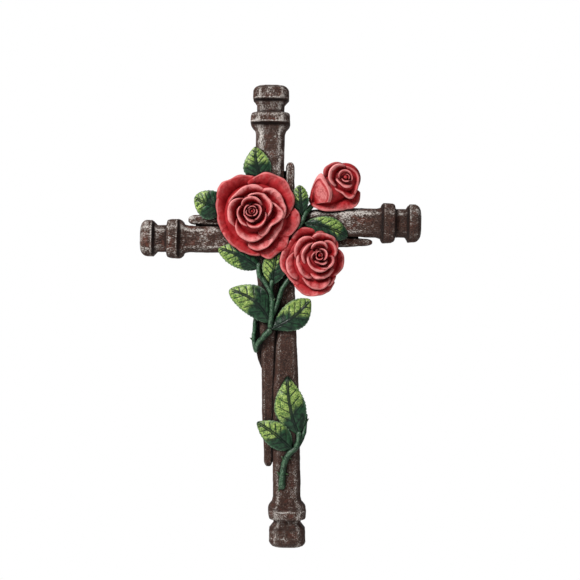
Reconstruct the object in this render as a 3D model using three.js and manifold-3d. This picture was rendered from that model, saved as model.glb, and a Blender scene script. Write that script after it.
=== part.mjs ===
// Wall cross: four forged nails bundled into a cross, with three roses, leaves and thorny stems.
// One cold-cast resin piece, flat at the back, about 307 mm tall and 187 mm wide.
// Millimetres. +X right, +Z up, the front faces -Y and the flat back lies on the wall plane y = 0.
// The origin is on the back, where the two arms of the cross meet.
// Shapes are drawn in front view as [x across, y up, z out from the wall] and stood up at the end.

import * as THREE from "three";
import { mergeVertices } from "three/addons/utils/BufferGeometryUtils.js";
import Module from "manifold-3d";

const wasm = await Module();
wasm.setup();

// Nails: the head is a cap, a neck and a collar, and the shank tapers to a blunt tip.
const NAIL_AXIS_OUT = 7; // the axis of a nail's head in front of the wall
const NAIL_TIP_RISE = 2; // how much further out the tip lies
const NAIL_CHAMFER = 0.36; // corner cut of the square section, as a share of its half width
// The shank narrows twice, each time to a share of its width, between two shares of the nail's length.
const TAPER = { start: 0.28, end: 0.84, share: 0.42 };
const POINT = { start: 0.8, end: 0.97, share: 0.75 };
const TIP_ROUND = 4; // length of the rounded tip
// The rounded tip, as [distance back from its end as a share of its length, share of its width].
const TIP_PROFILE = [
  [0.35, 0.78],
  [0, 0.35],
];
const SHANK_STEPS = 6;
const CAP_ROUND = 3.4; // rounding of the outer end of a cap
const CAP_SLOPE = 3; // length of the slope from a cap to its neck
const COLLAR_ROUND = 1.6; // rounding of both ends of a collar
const FLARE = { length: 3, rise: 0.6 }; // short swelling of the shank where it meets the collar
const NAILS = [
  {
    head: [-6.5, 96.2],
    tip: [-5.4, -157.1],
    bow: -0.8,
    cap: { length: 12.8, half: 11.9 },
    neck: { length: 5.2, half: 9 },
    collar: { length: 11.6, half: 13 },
    shank: 9.5,
  },
  {
    head: [8, -210.6],
    tip: [6.9, 45.2],
    bow: 1.8,
    cap: { length: 15.2, half: 11.9 },
    neck: { length: 3, half: 9 },
    collar: { length: 11.6, half: 12.5 },
    shank: 9.1,
  },
  {
    head: [-92.3, -6.3],
    tip: [62, -7.2],
    bow: 0,
    cap: { length: 11, half: 11.9 },
    neck: { length: 6.4, half: 8.8 },
    collar: { length: 11.8, half: 12.9 },
    shank: 8.7,
  },
  {
    head: [94.1, 5.5],
    tip: [-60.5, 6.2],
    bow: 0,
    cap: { length: 9.8, half: 12.3 },
    neck: { length: 7.2, half: 9.3 },
    collar: { length: 9.6, half: 13.1 },
    shank: 9.5,
  },
];

// Webs of resin that close the grooves between the nails at the back.
const WEB_OUT = 5;
const UPRIGHT_WEB = { left: -7, right: 8, low: -155, high: 40 };
const LEVEL_WEB = { left: -56, right: 57, low: -8, high: 7 };

// Fillet of resin beside the upright nail, which carries the lowest twig of the bouquet.
const FILLET_OUT = 9;
const FILLET = [
  [-8, -57],
  [-14, -57],
  [-15.2, -70],
  [-14.8, -79],
  [-13.2, -86],
  [-10.8, -92],
  [-8, -92],
];

// Petals: a petal's rim runs between two directions seen from the middle of the whorl, in degrees
// counter-clockwise from +X. Its radii are spaced evenly between them, and out is how far the rim stands from
// the wall.
const PETAL_THICKNESS = 1.9;
const PETAL_TUCK = 9; // degrees by which each end slips under its neighbour
const PETAL_TUCK_DROP = 2.6; // how far the ends lie behind the middle of the rim
const PETAL_TUCK_IN = 0.1; // how far the ends draw in, as a share of the radius
const PETAL_TUCK_POWER = 4; // how suddenly they do so
const PETAL_CUP = 0.45; // inward reach of a petal, as a share of its rim's radius
const PETAL_CUP_POWER = 0.85;
const PETAL_CURL = 0.9; // how far the lip turns down
const PETAL_CURL_FROM = 0.7; // share of the way out where the lip starts
const PETAL_STEP = 23; // degrees from one cross section to the next
const PETAL_SECTION = [
  [0.1, 0],
  [0.72, 0],
  [1, 0],
  [1, 0.5],
  [0.25, 1.3],
];

const LARGE_ROSE = {
  centre: [-17.8, 11.1],
  bodyShift: [2.5, -1.5], // the foot of the rose, beside the middle of its whorl
  body: [
    [0, 26],
    [7, 24],
    [12, 21],
    [16.5, 18.8],
    [20.5, 17.6],
    [22, 11],
    [15, -1],
  ],
  cup: 8,
  petals: [
    { from: 88, to: 158, radii: [22, 24.4, 24.8, 25.3], out: 19.8 },
    { from: 157, to: 217, radii: [25, 22.5, 23.4, 24.3], out: 19.2 },
    { from: 215, to: 282, radii: [24, 23.8, 27, 29.2], out: 19.5 },
    { from: 282, to: 330, radii: [28.8, 32.8, 31.5, 27.6], out: 19.3 },
    { from: 328, to: 364, radii: [27.5, 31, 31.5, 28], out: 19.8 },
    { from: 0, to: 91, radii: [25, 29, 28.6, 20], out: 20.8 },
    { from: 60, to: 150, radii: [16.8, 18.5, 16.6, 18.5], out: 23.4 },
    { from: -2, to: 63, radii: [23.8, 22.5, 21.6, 17.4], out: 24 },
    { from: 272, to: 342, radii: [25.2, 26, 22, 23], out: 22.8 },
    { from: 126, to: 214, radii: [11.6, 15, 16, 16.8], out: 25.5 },
    { from: 212, to: 296, radii: [13.4, 17.6, 20, 18.6], out: 25 },
    { from: 296, to: 384, radii: [18.2, 16, 20.6, 15], out: 26.5 },
    { from: -14, to: 97, radii: [12, 13.8, 14.6, 11.5], out: 29 },
    { from: 148, to: 253, radii: [8.2, 10.2, 10.4, 10.8], out: 29 },
    { from: 251, to: 349, radii: [9.6, 11.4, 11.8, 11], out: 30 },
    { from: 42, to: 141, radii: [8.6, 9.2, 9.8, 9.2], out: 31 },
    { from: 175, to: 345, radii: [5.6, 5.8, 5.4, 6], out: 32 },
  ],
  heart: { half: 3.4, low: 24, high: 32.6 },
};

const SECOND_ROSE = {
  centre: [26.8, -16.8],
  bodyShift: [-5, -3.5],
  body: [
    [0, 23.4],
    [6, 22],
    [10, 19.8],
    [13.5, 18],
    [16.5, 16.8],
    [17.5, 10],
    [11, -1],
  ],
  cup: 7,
  petals: [
    { from: 96, to: 152, radii: [17, 20.4, 22.6, 22.4], out: 18.2 },
    { from: 150, to: 212, radii: [22.4, 23.8, 27, 25], out: 18.6 },
    { from: 206, to: 232, radii: [24.8, 25.2, 25.6, 25.8], out: 18 },
    { from: 230, to: 292, radii: [26, 28, 26.2, 22.4], out: 17.8 },
    { from: 286, to: 306, radii: [22.6, 21.6, 19.6, 18], out: 17.6 },
    { from: 302, to: 374, radii: [18, 17.6, 16.2, 14.4], out: 18.4 },
    { from: 12, to: 100, radii: [13.2, 14.8, 15.4, 17], out: 19 },
    { from: 178, to: 220, radii: [18.1, 22, 23.8, 23.9], out: 20.6 },
    { from: 236, to: 288, radii: [19.3, 22, 22.6, 20], out: 20.4 },
    { from: 112, to: 186, radii: [13.2, 16.8, 17.3, 16.3], out: 21.8 },
    { from: 42, to: 112, radii: [14.6, 15.6, 14.7, 13.6], out: 21.2 },
    { from: 182, to: 242, radii: [15.1, 16.4, 17.3, 18.5], out: 22.8 },
    { from: 245, to: 308, radii: [14.7, 15.4, 14.7, 14], out: 22.4 },
    { from: 128, to: 210, radii: [10.7, 11, 12.2, 11.8], out: 24.5 },
    { from: -2, to: 64, radii: [10.1, 11.7, 12.2, 10.9], out: 24 },
    { from: 192, to: 296, radii: [9, 9.8, 11, 11.6], out: 26 },
    { from: 262, to: 352, radii: [9.1, 9.9, 10.8, 9.5], out: 25 },
    { from: 52, to: 135, radii: [8.3, 9.5, 9.2, 8.3], out: 27 },
    { from: 160, to: 320, radii: [5.4, 5.2, 5.6, 6.2], out: 28.2 },
  ],
  heart: { half: 3.2, low: 20, high: 28.8 },
};

const TURNED_SIDES = 12;
// The dome of a heart as [radius, drop from its top], both as shares of its half width.
const HEART_DOME = [
  [0, 0],
  [0.6, 0.1],
  [1, 0.5],
  [1.4, 1.1],
];

// Rosebud: it lies on its side, with a whorl that faces the front and a body that narrows to its stalk.
const BUD = {
  centre: [43.2, 34.5],
  foot: [21.4, 17.2, 10],
  crown: [40.2, 32, 12.5],
  body: [
    [0, 2.4],
    [0.12, 5.4],
    [0.4, 9],
    [0.7, 10.4],
    [0.9, 9.4],
    [1, 6.5],
  ],
  cup: 5,
  petals: [
    { from: 221, to: 307, radii: [29.5, 23, 20.3, 19.2, 14.4], out: 17.5 },
    { from: 98, to: 172, radii: [9.4, 13.2, 14.6, 15.6, 15.2], out: 19.5 },
    { from: 225, to: 300, radii: [12.1, 10.6, 11.4, 14.6, 13.1], out: 23 },
    { from: -48, to: 100, radii: [11.4, 9.6, 8.2, 7.2, 8.2], out: 23.5 },
    { from: 100, to: 212, radii: [8.6, 11.2, 11.8, 10], out: 25.3 },
    { from: 193, to: 300, radii: [7.2, 5.8, 6.2, 7.4], out: 26 },
    { from: -25, to: 178, radii: [4.9, 4.4, 4.7, 5.4, 5.5], out: 27 },
  ],
  // What fills the whorl below its petals.
  cushion: [
    [0, 22.4],
    [4, 22.2],
    [7.5, 20.8],
    [9.6, 18],
    [10.2, 14.5],
    [7.5, 9],
  ],
  heart: { half: 2.6, low: 18, high: 27.6 },
  // The petal on its left side fans out from the stalk, wraps round the body and turns its lip down.
  sidePetal: {
    from: 6,
    to: 77,
    radii: [12.3, 15, 17.5, 19.9, 21.4],
    footShare: 0.12, // where the petal starts, as a share of the radius
    footOut: 11,
    out: 23.4,
    wrap: 9, // how far its left edge drops round the body
  },
};

// Leaves, from the stalk to the tip. Bend carries the midrib to the right of the straight line between them,
// arch lifts the middle of the leaf and droop lowers its edges. Full above 1 moves the widest place towards
// the tip, and a smaller round makes the ends blunter.
const LEAF_THICKNESS = 2.2;
const LEAF_END = 0.5; // half width at the stalk and at the tip
const LEAF_ALONG = 6;
const LEAF_SECTION = [
  [0, 0],
  [0.5, 0],
  [1, 0],
  [0.5, 1],
];
const LEAVES = [
  {
    base: [-11.1, 31, 16.6],
    tip: [-16.6, 54.6, 17.4],
    bend: -1.5,
    width: 18.5,
    arch: 1.8,
    droop: 1.2,
    full: 0.85,
    round: 0.85,
  },
  {
    base: [-35.5, 13.8, 14.5],
    tip: [-56.4, 20.8, 15.5],
    bend: -1.4,
    width: 19.5,
    arch: 2,
    droop: 1.4,
    full: 0.95,
    round: 0.62,
  },
  {
    base: [-13.4, -24.9, 15.6],
    tip: [-40.1, -12.5, 15.6],
    bend: 1.5,
    width: 16.5,
    arch: 2,
    droop: 1.4,
    full: 0.95,
    round: 0.65,
  },
  {
    base: [-4.4, -36, 16.4],
    tip: [-1.4, -12.6, 16.6],
    bend: 0,
    width: 16,
    arch: 0.6,
    droop: 0.4,
    full: 0.95,
    round: 0.7,
  },
  {
    base: [-5.2, -62, 16.4],
    tip: [-32, -40.8, 15.6],
    bend: 4.4,
    width: 20,
    arch: 2.2,
    droop: 1.4,
    full: 1.05,
    round: 0.68,
  },
  {
    base: [-4.2, -65.6, 16.6],
    tip: [20.6, -46.2, 16.6],
    bend: 2.2,
    width: 18.4,
    arch: 1.8,
    droop: 1.2,
    full: 1,
    round: 0.65,
  },
  {
    base: [14.8, 10, 16.8],
    tip: [12.9, 29.6, 17],
    bend: 0,
    width: 11,
    arch: 1.4,
    droop: 1,
    full: 1.1,
    round: 0.62,
  },
  {
    base: [16.8, 4.7, 17.4],
    tip: [45.6, -4.6, 17.2],
    bend: -1.6,
    width: 15,
    arch: 1.4,
    droop: 1,
    full: 1.2,
    round: 0.62,
  },
  {
    base: [14.9, -136, 16.6],
    tip: [6.6, -96.9, 17],
    bend: -2.2,
    width: 21,
    arch: 1.8,
    droop: 1.6,
    full: 1.05,
    round: 0.88,
  },
  {
    base: [10.2, -144.9, 17],
    tip: [-13.1, -127.4, 16.4],
    bend: 1.3,
    width: 17,
    arch: 1.5,
    droop: 1.2,
    full: 0.9,
    round: 0.8,
  },
];

// Stems, as smooth curves through the points listed, with the half thickness at each end.
const STEM_SIDES = 5;
const STEM_STEP = 7;
const STEM_END = 0.6; // thickness of the cut ends, as a share of the stem's
const STEMS = [
  {
    half: [1.5, 2.1],
    path: [
      [-14.8, -81.4, 12.5],
      [-12.9, -75, 14.6],
      [-8.8, -70.2, 16.4],
      [-4.3, -65.4, 16.4],
    ],
  },
  {
    half: [1.9, 1.6],
    path: [
      [-5.2, -66, 15.8],
      [-4.4, -56, 16.8],
      [-4.1, -47.4, 17],
      [-5.4, -41, 17],
      [-8.9, -34.6, 16.6],
      [-12.6, -30, 16.2],
      [-13.4, -22, 15.4],
    ],
  },
  {
    half: [1.4, 1.5],
    path: [
      [-5, -43, 16.6],
      [-5, -38, 17],
      [-4.4, -33, 16.4],
    ],
  },
  {
    half: [1.7, 1.4],
    path: [
      [-4.2, -58, 16],
      [-0.5, -48, 16.4],
      [1.8, -40.4, 16.2],
      [4.7, -35.3, 15.8],
      [10, -27.6, 14],
    ],
  },
  {
    half: [1.5, 1.3],
    path: [
      [-14.8, -80.6, 12],
      [-16.1, -73, 11],
      [-15.6, -66.6, 11],
      [-15, -58.6, 11.5],
      [-11.4, -48, 13],
    ],
  },
  {
    half: [1.6, 1.5],
    path: [
      [22, 17.2, 13],
      [17.2, 10.6, 16.4],
      [15.4, 6, 17.2],
      [12.4, 0, 16.2],
    ],
  },
  {
    half: [2.3, 1.1],
    path: [
      [3.4, -172.9, 15.8],
      [4.1, -160.7, 16.6],
      [5.9, -152.3, 17],
      [8.6, -147.6, 17.2],
      [12.2, -144.6, 17],
      [15.8, -139.4, 16],
      [17.9, -134.2, 14.8],
      [18.8, -127.8, 13.8],
      [19.2, -121.4, 13],
    ],
  },
  {
    half: [1.7, 1.6],
    path: [
      [12, -145.2, 16.8],
      [14.2, -139.5, 17],
      [14.8, -133, 16.4],
    ],
  },
];

// Thorns, from the middle of the stem to the point.
const THORN_HALF = 1.1;
const THORN_SIDES = 4;
const THORNS = [
  { root: [-16, -73.4, 11], point: [-18.8, -71.6, 11.6] },
  { root: [-4.2, -47.6, 17.2], point: [-1.9, -45.4, 19] },
  { root: [5.2, -155, 16.8], point: [2.2, -151.2, 17.6] },
  { root: [4.4, -160.4, 16.6], point: [8.2, -161.6, 17.2] },
  { root: [19, -127, 13.6], point: [21.2, -124.6, 14] },
];

const BEHIND_WALL = { width: 400, height: 600, depth: 60, centre: -50 };
const SLIVER = 0.1; // volume under which a loose scrap of a join is dropped

const rad = THREE.MathUtils.degToRad;
const mix = THREE.MathUtils.lerp;
const smooth = THREE.MathUtils.smoothstep;

// A closed mesh through rings of points, each ring running the same way round, with a fan over each end.
function loft(rings) {
  const sides = rings[0].length;
  const middle = (ring) => ring.reduce((sum, p) => sum.add(p), new THREE.Vector3()).divideScalar(sides);
  const points = [...rings.flat(), middle(rings[0]), middle(rings.at(-1))];
  const start = rings.length * sides;
  const faces = [];
  for (let i = 0; i < rings.length - 1; i++) {
    for (let j = 0; j < sides; j++) {
      const a = i * sides + j;
      const b = i * sides + ((j + 1) % sides);
      faces.push(a, b, b + sides, a, b + sides, a + sides);
    }
  }
  for (let j = 0; j < sides; j++) {
    const next = (j + 1) % sides;
    const last = (rings.length - 1) * sides;
    faces.push(start, next, j);
    faces.push(start + 1, last + j, last + next);
  }
  return new THREE.BufferGeometry().setFromPoints(points).setIndex(faces);
}

// A closed shell behind the surface at(u, v), where u and v run from 0 to 1. The section lists the points
// round the shell at each u, as [v, depth], with the depth behind the surface as a share of the thickness.
function shell(at, across, section, thickness) {
  const step = 1e-3;
  const rings = [];
  for (let i = 0; i <= across; i++) {
    const share = i / across;
    const ring = section.map(([v, depth]) => {
      const inU = THREE.MathUtils.clamp(share, step, 1 - step);
      const inV = THREE.MathUtils.clamp(v, step, 1 - step);
      const du = at(inU + step, inV).sub(at(inU - step, inV));
      const dv = at(inU, inV + step).sub(at(inU, inV - step));
      const normal = du.cross(dv).normalize();
      return at(share, v).addScaledVector(normal, -thickness * depth);
    });
    rings.push(ring.reverse());
  }
  return loft(rings);
}

// A smooth value along a short list, at a share from 0 to 1 of its length.
function along(values, share) {
  const curve = new THREE.SplineCurve(values.map((value, i) => new THREE.Vector2(i, value)));
  return curve.getPoint(share).y;
}

// Half width of a nail at a distance from the outer face of its head.
function nailStations(nail, length) {
  const { cap, neck, collar, shank } = nail;
  const neckEnd = cap.length + neck.length;
  const headEnd = neckEnd + collar.length;
  const stations = [
    [0, cap.half - CAP_ROUND],
    [CAP_ROUND * 0.35, cap.half - CAP_ROUND * 0.35],
    [CAP_ROUND, cap.half],
    [cap.length - CAP_SLOPE, cap.half],
    [cap.length, neck.half],
    [neckEnd, neck.half],
    [neckEnd + COLLAR_ROUND * 0.4, collar.half - COLLAR_ROUND],
    [neckEnd + COLLAR_ROUND * 1.6, collar.half],
    [headEnd - COLLAR_ROUND * 1.6, collar.half],
    [headEnd - COLLAR_ROUND * 0.4, collar.half - COLLAR_ROUND],
    [headEnd, shank + FLARE.rise],
    [headEnd + FLARE.length, shank],
  ];
  const shankStart = headEnd + FLARE.length;
  const shankEnd = length - TIP_ROUND;
  for (let i = 1; i <= SHANK_STEPS; i++) {
    const distance = mix(shankStart, shankEnd, i / SHANK_STEPS);
    const share = distance / length;
    const taper = mix(1, TAPER.share, smooth(share, TAPER.start, TAPER.end));
    stations.push([distance, shank * taper * mix(1, POINT.share, smooth(share, POINT.start, POINT.end))]);
  }
  const tipHalf = shank * TAPER.share * POINT.share;
  TIP_PROFILE.forEach(([back, share]) => stations.push([length - TIP_ROUND * back, tipHalf * share]));
  return stations;
}

function nailGeometry(nail) {
  const head = new THREE.Vector2(...nail.head);
  const tip = new THREE.Vector2(...nail.tip);
  const length = head.distanceTo(tip);
  const axis = tip.clone().sub(head).normalize();
  const side = new THREE.Vector2(-axis.y, axis.x);
  const rings = nailStations(nail, length).map(([distance, half]) => {
    const share = distance / length;
    const sideways = nail.bow * Math.sin(Math.PI * share);
    const centre = head.clone().addScaledVector(axis, distance).addScaledVector(side, sideways);
    const out = NAIL_AXIS_OUT + NAIL_TIP_RISE * smooth(share, TAPER.start, 1);
    const inner = half * (1 - NAIL_CHAMFER);
    const section = [
      [half, -inner],
      [half, inner],
      [inner, half],
      [-inner, half],
      [-half, inner],
      [-half, -inner],
      [-inner, -half],
      [inner, -half],
    ];
    return section.map(([a, b]) => new THREE.Vector3(centre.x + side.x * a, centre.y + side.y * a, out + b));
  });
  return loft(rings);
}

function webGeometry({ left, right, low, high }) {
  const web = new THREE.BoxGeometry(right - left, high - low, WEB_OUT * 2);
  return web.translate((left + right) / 2, (low + high) / 2, 0);
}

function filletGeometry() {
  const outline = new THREE.Shape(FILLET.map(([x, y]) => new THREE.Vector2(x, y)));
  return new THREE.ExtrudeGeometry(outline, { depth: FILLET_OUT, bevelEnabled: false });
}

// How far the lip of a petal has turned down at a share of the way out.
function curl(v) {
  const lip = Math.max(0, (v - PETAL_CURL_FROM) / (1 - PETAL_CURL_FROM));
  return PETAL_CURL * lip * lip;
}

function petalSteps(degrees) {
  return Math.max(3, Math.round(degrees / PETAL_STEP));
}

// A petal of an open rose: a shallow cup from the body of the rose out to its rim, whose lip turns down.
function petalGeometry(rose, petal) {
  const from = petal.from - PETAL_TUCK;
  const to = petal.to + PETAL_TUCK;
  const at = (u, v) => {
    const angle = rad(mix(to, from, u));
    const edge = Math.pow(Math.abs(2 * u - 1), PETAL_TUCK_POWER);
    const rim = along(petal.radii, 1 - u) * (1 - PETAL_TUCK_IN * edge);
    const inward = 1 - v;
    const radius = rim * (1 - PETAL_CUP * inward);
    const cup = rose.cup * Math.pow(inward, PETAL_CUP_POWER);
    return new THREE.Vector3(
      rose.centre[0] + Math.cos(angle) * radius,
      rose.centre[1] + Math.sin(angle) * radius,
      petal.out - cup - PETAL_TUCK_DROP * edge - curl(v),
    );
  };
  return shell(at, petalSteps(to - from), PETAL_SECTION, PETAL_THICKNESS);
}

// A turned body from its profile of [radius, out] points, closed on its axis and standing on the wall.
function turned(profile, centre) {
  const points = profile.map(([radius, out]) => new THREE.Vector2(radius, out));
  points.push(new THREE.Vector2(0, points.at(-1).y));
  const body = new THREE.LatheGeometry(points.reverse(), TURNED_SIDES).rotateX(Math.PI / 2);
  return body.translate(centre[0], centre[1], 0);
}

// The closed heart of a whorl: a dome with a foot that widens into the petals.
function heartGeometry({ heart, centre }) {
  const { half, low, high } = heart;
  const dome = HEART_DOME.map(([radius, drop]) => [half * radius, high - half * drop]);
  return turned([...dome, [half * 2, low]], centre);
}

function roseSolids(rose) {
  const foot = [rose.centre[0] + rose.bodyShift[0], rose.centre[1] + rose.bodyShift[1]];
  const petals = rose.petals.map((petal) => petalGeometry(rose, petal));
  return [turned(rose.body, foot), heartGeometry(rose), ...petals];
}

// The body of the bud: a teardrop from the stalk to the crown.
function budBody() {
  const foot = new THREE.Vector3(...BUD.foot);
  const crown = new THREE.Vector3(...BUD.crown);
  const axis = crown.clone().sub(foot).normalize();
  const side = new THREE.Vector3(axis.y, -axis.x, 0).normalize();
  const front = new THREE.Vector3().crossVectors(side, axis);
  const rings = BUD.body.map(([share, radius]) =>
    Array.from({ length: TURNED_SIDES }, (_, i) => {
      const angle = (-2 * Math.PI * i) / TURNED_SIDES;
      return foot
        .clone()
        .lerp(crown, share)
        .addScaledVector(side, Math.cos(angle) * radius)
        .addScaledVector(front, Math.sin(angle) * radius);
    }),
  );
  return loft(rings);
}

// The side petal of the bud, from a point at the foot to its rim.
function budSidePetal({ from, to, radii, footShare, footOut, out, wrap }) {
  const at = (u, v) => {
    const left = 1 - u;
    const angle = rad(mix(from, to, left));
    const radius = along(radii, left) * mix(footShare, 1, v);
    const bulge = mix(footOut, out, Math.sin((Math.PI / 2) * v)) - 2 * curl(v);
    const drop = wrap * Math.pow(left, 3) + PETAL_TUCK_DROP * Math.pow(u, 3);
    return new THREE.Vector3(
      BUD.foot[0] + Math.cos(angle) * radius,
      BUD.foot[1] + Math.sin(angle) * radius,
      bulge - drop * v,
    );
  };
  return shell(at, petalSteps(to - from), PETAL_SECTION, PETAL_THICKNESS);
}

function budSolids() {
  const petals = BUD.petals.map((petal) => petalGeometry(BUD, petal));
  const cushion = turned(BUD.cushion, BUD.centre);
  return [budBody(), cushion, heartGeometry(BUD), budSidePetal(BUD.sidePetal), ...petals];
}

function leafGeometry(leaf) {
  const base = new THREE.Vector3(...leaf.base);
  const tip = new THREE.Vector3(...leaf.tip);
  const side = new THREE.Vector3(tip.y - base.y, base.x - tip.x, 0).normalize();
  const at = (u, v) => {
    const across = 2 * u - 1;
    const arc = Math.max(0, Math.sin(Math.PI * Math.pow(v, leaf.full)));
    const oval = Math.pow(arc, leaf.round);
    const half = mix(LEAF_END, leaf.width / 2, oval);
    const sideways = leaf.bend * Math.sin(Math.PI * v) + across * half;
    const point = base.clone().lerp(tip, v).addScaledVector(side, sideways);
    point.z += leaf.arch * Math.sin(Math.PI * v) - leaf.droop * across * across;
    return point;
  };
  return shell((u, v) => at(1 - v, u), LEAF_ALONG, LEAF_SECTION, LEAF_THICKNESS);
}

function stemGeometry({ path, half }) {
  const curve = new THREE.CatmullRomCurve3(path.map((p) => new THREE.Vector3(...p)));
  const steps = Math.max(2, Math.round(curve.getLength() / STEM_STEP));
  const rings = [];
  for (let i = 0; i <= steps; i++) {
    const share = i / steps;
    const centre = curve.getPointAt(share);
    const tangent = curve.getTangentAt(share);
    const side = new THREE.Vector3(tangent.y, -tangent.x, 0).normalize();
    const front = new THREE.Vector3().crossVectors(side, tangent);
    const narrow = i === 0 || i === steps ? STEM_END : 1;
    const thickness = mix(half[0], half[1], share) * narrow;
    const ring = [];
    for (let j = 0; j < STEM_SIDES; j++) {
      const angle = (2 * Math.PI * j) / STEM_SIDES;
      ring.push(
        centre
          .clone()
          .addScaledVector(side, Math.cos(angle) * thickness)
          .addScaledVector(front, Math.sin(angle) * thickness),
      );
    }
    rings.push(ring);
  }
  return loft(rings.map((ring) => ring.reverse()));
}

function thornGeometry({ root, point }) {
  const from = new THREE.Vector3(...root);
  const to = new THREE.Vector3(...point);
  const length = from.distanceTo(to);
  const turn = new THREE.Quaternion().setFromUnitVectors(
    new THREE.Vector3(0, 1, 0),
    to.clone().sub(from).normalize(),
  );
  return new THREE.ConeGeometry(THORN_HALF, length, THORN_SIDES)
    .translate(0, length / 2, 0)
    .applyQuaternion(turn)
    .translate(...root);
}

// A closed geometry as a solid that can be joined and cut.
function toSolid(geometry) {
  const plain = geometry.clone();
  plain.deleteAttribute("normal");
  plain.deleteAttribute("uv");
  const merged = mergeVertices(plain, 1e-4);
  const solid = new wasm.Manifold(
    new wasm.Mesh({
      numProp: 3,
      vertProperties: new Float32Array(merged.attributes.position.array),
      triVerts: new Uint32Array(merged.index.array),
    }),
  );
  if (solid.volume() <= 0) throw new Error("a form is inside out");
  return solid;
}

function toGeometry(solid) {
  const mesh = solid.getMesh();
  const geometry = new THREE.BufferGeometry();
  geometry.setAttribute("position", new THREE.BufferAttribute(mesh.vertProperties, 3));
  geometry.setIndex(new THREE.BufferAttribute(mesh.triVerts, 1));
  geometry.computeVertexNormals();
  return geometry;
}

const forms = [
  ...NAILS.map(nailGeometry),
  webGeometry(UPRIGHT_WEB),
  webGeometry(LEVEL_WEB),
  filletGeometry(),
  ...roseSolids(LARGE_ROSE),
  ...roseSolids(SECOND_ROSE),
  ...budSolids(),
  ...LEAVES.map(leafGeometry),
  ...STEMS.map(stemGeometry),
  ...THORNS.map(thornGeometry),
];
const joined = forms.map(toSolid).reduce((sum, solid) => sum.add(solid));
const { width, height, depth, centre: middle } = BEHIND_WALL;
const behindWall = toSolid(new THREE.BoxGeometry(width, height, depth).translate(0, middle, -depth / 2));
const shells = joined.subtract(behindWall).decompose();
const bodies = shells.filter((shell) => shell.volume() > SLIVER);
if (bodies.length !== 1) throw new Error("the forms make " + bodies.length + " separate bodies");
const [casting] = bodies; // the outer skin alone, so that pockets sealed between the petals are solid

const cross = new THREE.Mesh(
  toGeometry(casting),
  new THREE.MeshStandardMaterial({ color: 0x4a3732, roughness: 0.5, metalness: 0.2 }),
);
cross.name = "wall_cross";

const wallCross = new THREE.Group();
wallCross.rotation.x = Math.PI / 2; // front view drawing to standing: up becomes +Z and out becomes -Y
wallCross.add(cross);

export default wallCross;
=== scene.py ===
"""Looks of the wall cross: one painted resin casting, which stands for the CAD node wall_cross.

Shapes are made in millimetres in front view, as (x across, y up, z out from the wall), and stood up at
the end.
"""

import math

import bpy
import numpy as np
from mathutils import Matrix, Vector
from mathutils.bvhtree import BVHTree


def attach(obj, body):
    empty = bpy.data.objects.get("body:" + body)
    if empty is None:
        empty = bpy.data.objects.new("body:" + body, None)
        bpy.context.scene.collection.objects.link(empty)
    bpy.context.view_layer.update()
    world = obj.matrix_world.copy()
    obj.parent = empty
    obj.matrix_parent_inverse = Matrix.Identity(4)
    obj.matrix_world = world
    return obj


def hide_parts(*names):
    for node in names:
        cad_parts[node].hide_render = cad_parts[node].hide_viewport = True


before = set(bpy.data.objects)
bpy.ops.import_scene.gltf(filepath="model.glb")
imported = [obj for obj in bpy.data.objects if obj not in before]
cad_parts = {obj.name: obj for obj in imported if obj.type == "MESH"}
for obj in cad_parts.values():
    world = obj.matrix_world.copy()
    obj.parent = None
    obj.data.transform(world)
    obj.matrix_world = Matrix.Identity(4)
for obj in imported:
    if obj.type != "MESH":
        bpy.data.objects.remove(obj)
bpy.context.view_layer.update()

IRON, ROSE, LEAF = 0, 1, 2
MM = 0.001
BEHIND_WALL = -2.0  # where the iron forms end, before everything behind the wall is cut off

# Nails: the same sizes as the solid, with a finer outline.
NAIL_AXIS_OUT = 7.0
NAIL_TIP_RISE = 2.0
NAIL_CHAMFER = 0.36
TAPER_FROM, TAPER_TO, TAPER_SHARE = 0.28, 0.84, 0.42
POINT_FROM, POINT_TO = 0.84, 1.0
HEAD_STEP = 0.62
HEAD_SPAN = 36
NAIL_STEP = 1.15
SHANK_STATIONS = 60
FACET_POINTS = 8
CHAMFER_POINTS = 4
CORNER_WIDTH = 0.11
RIM_WIDTH = 0.45
# The outer end of a cap: distance from it, then how far the sides and the front lie inside the half width.
CAP_END = [(0.0, 5.2, 5.4), (0.35, 3.6, 3.9), (1.3, 1.7, 1.9), (2.6, 0.6, 0.6), (4.0, 0, 0)]
# The hollows below a cap and a collar are drawn at these lengths, and each nail scales them to its own.
CAP_HOLLOW, COLLAR_HOLLOW = 3.4, 4.6
# The tip: distance back from it as a share of its length, then its share of the full width.
TIP_ROUND = 4.0
TIP_END = [(0.7, 0.97), (0.4, 0.84), (0.15, 0.62), (0, 0.4)]
# Hammer marks, as (height, stretch along the nail, size): two sorts of dents, then short ridges.
DENTS = [(0.26, 1.6, 6.5), (0.15, 1.5, 3.0)]
RIDGE_HEIGHT, RIDGE_STRETCH, RIDGE_SIZE = 0.2, 2.2, 1.2
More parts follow.
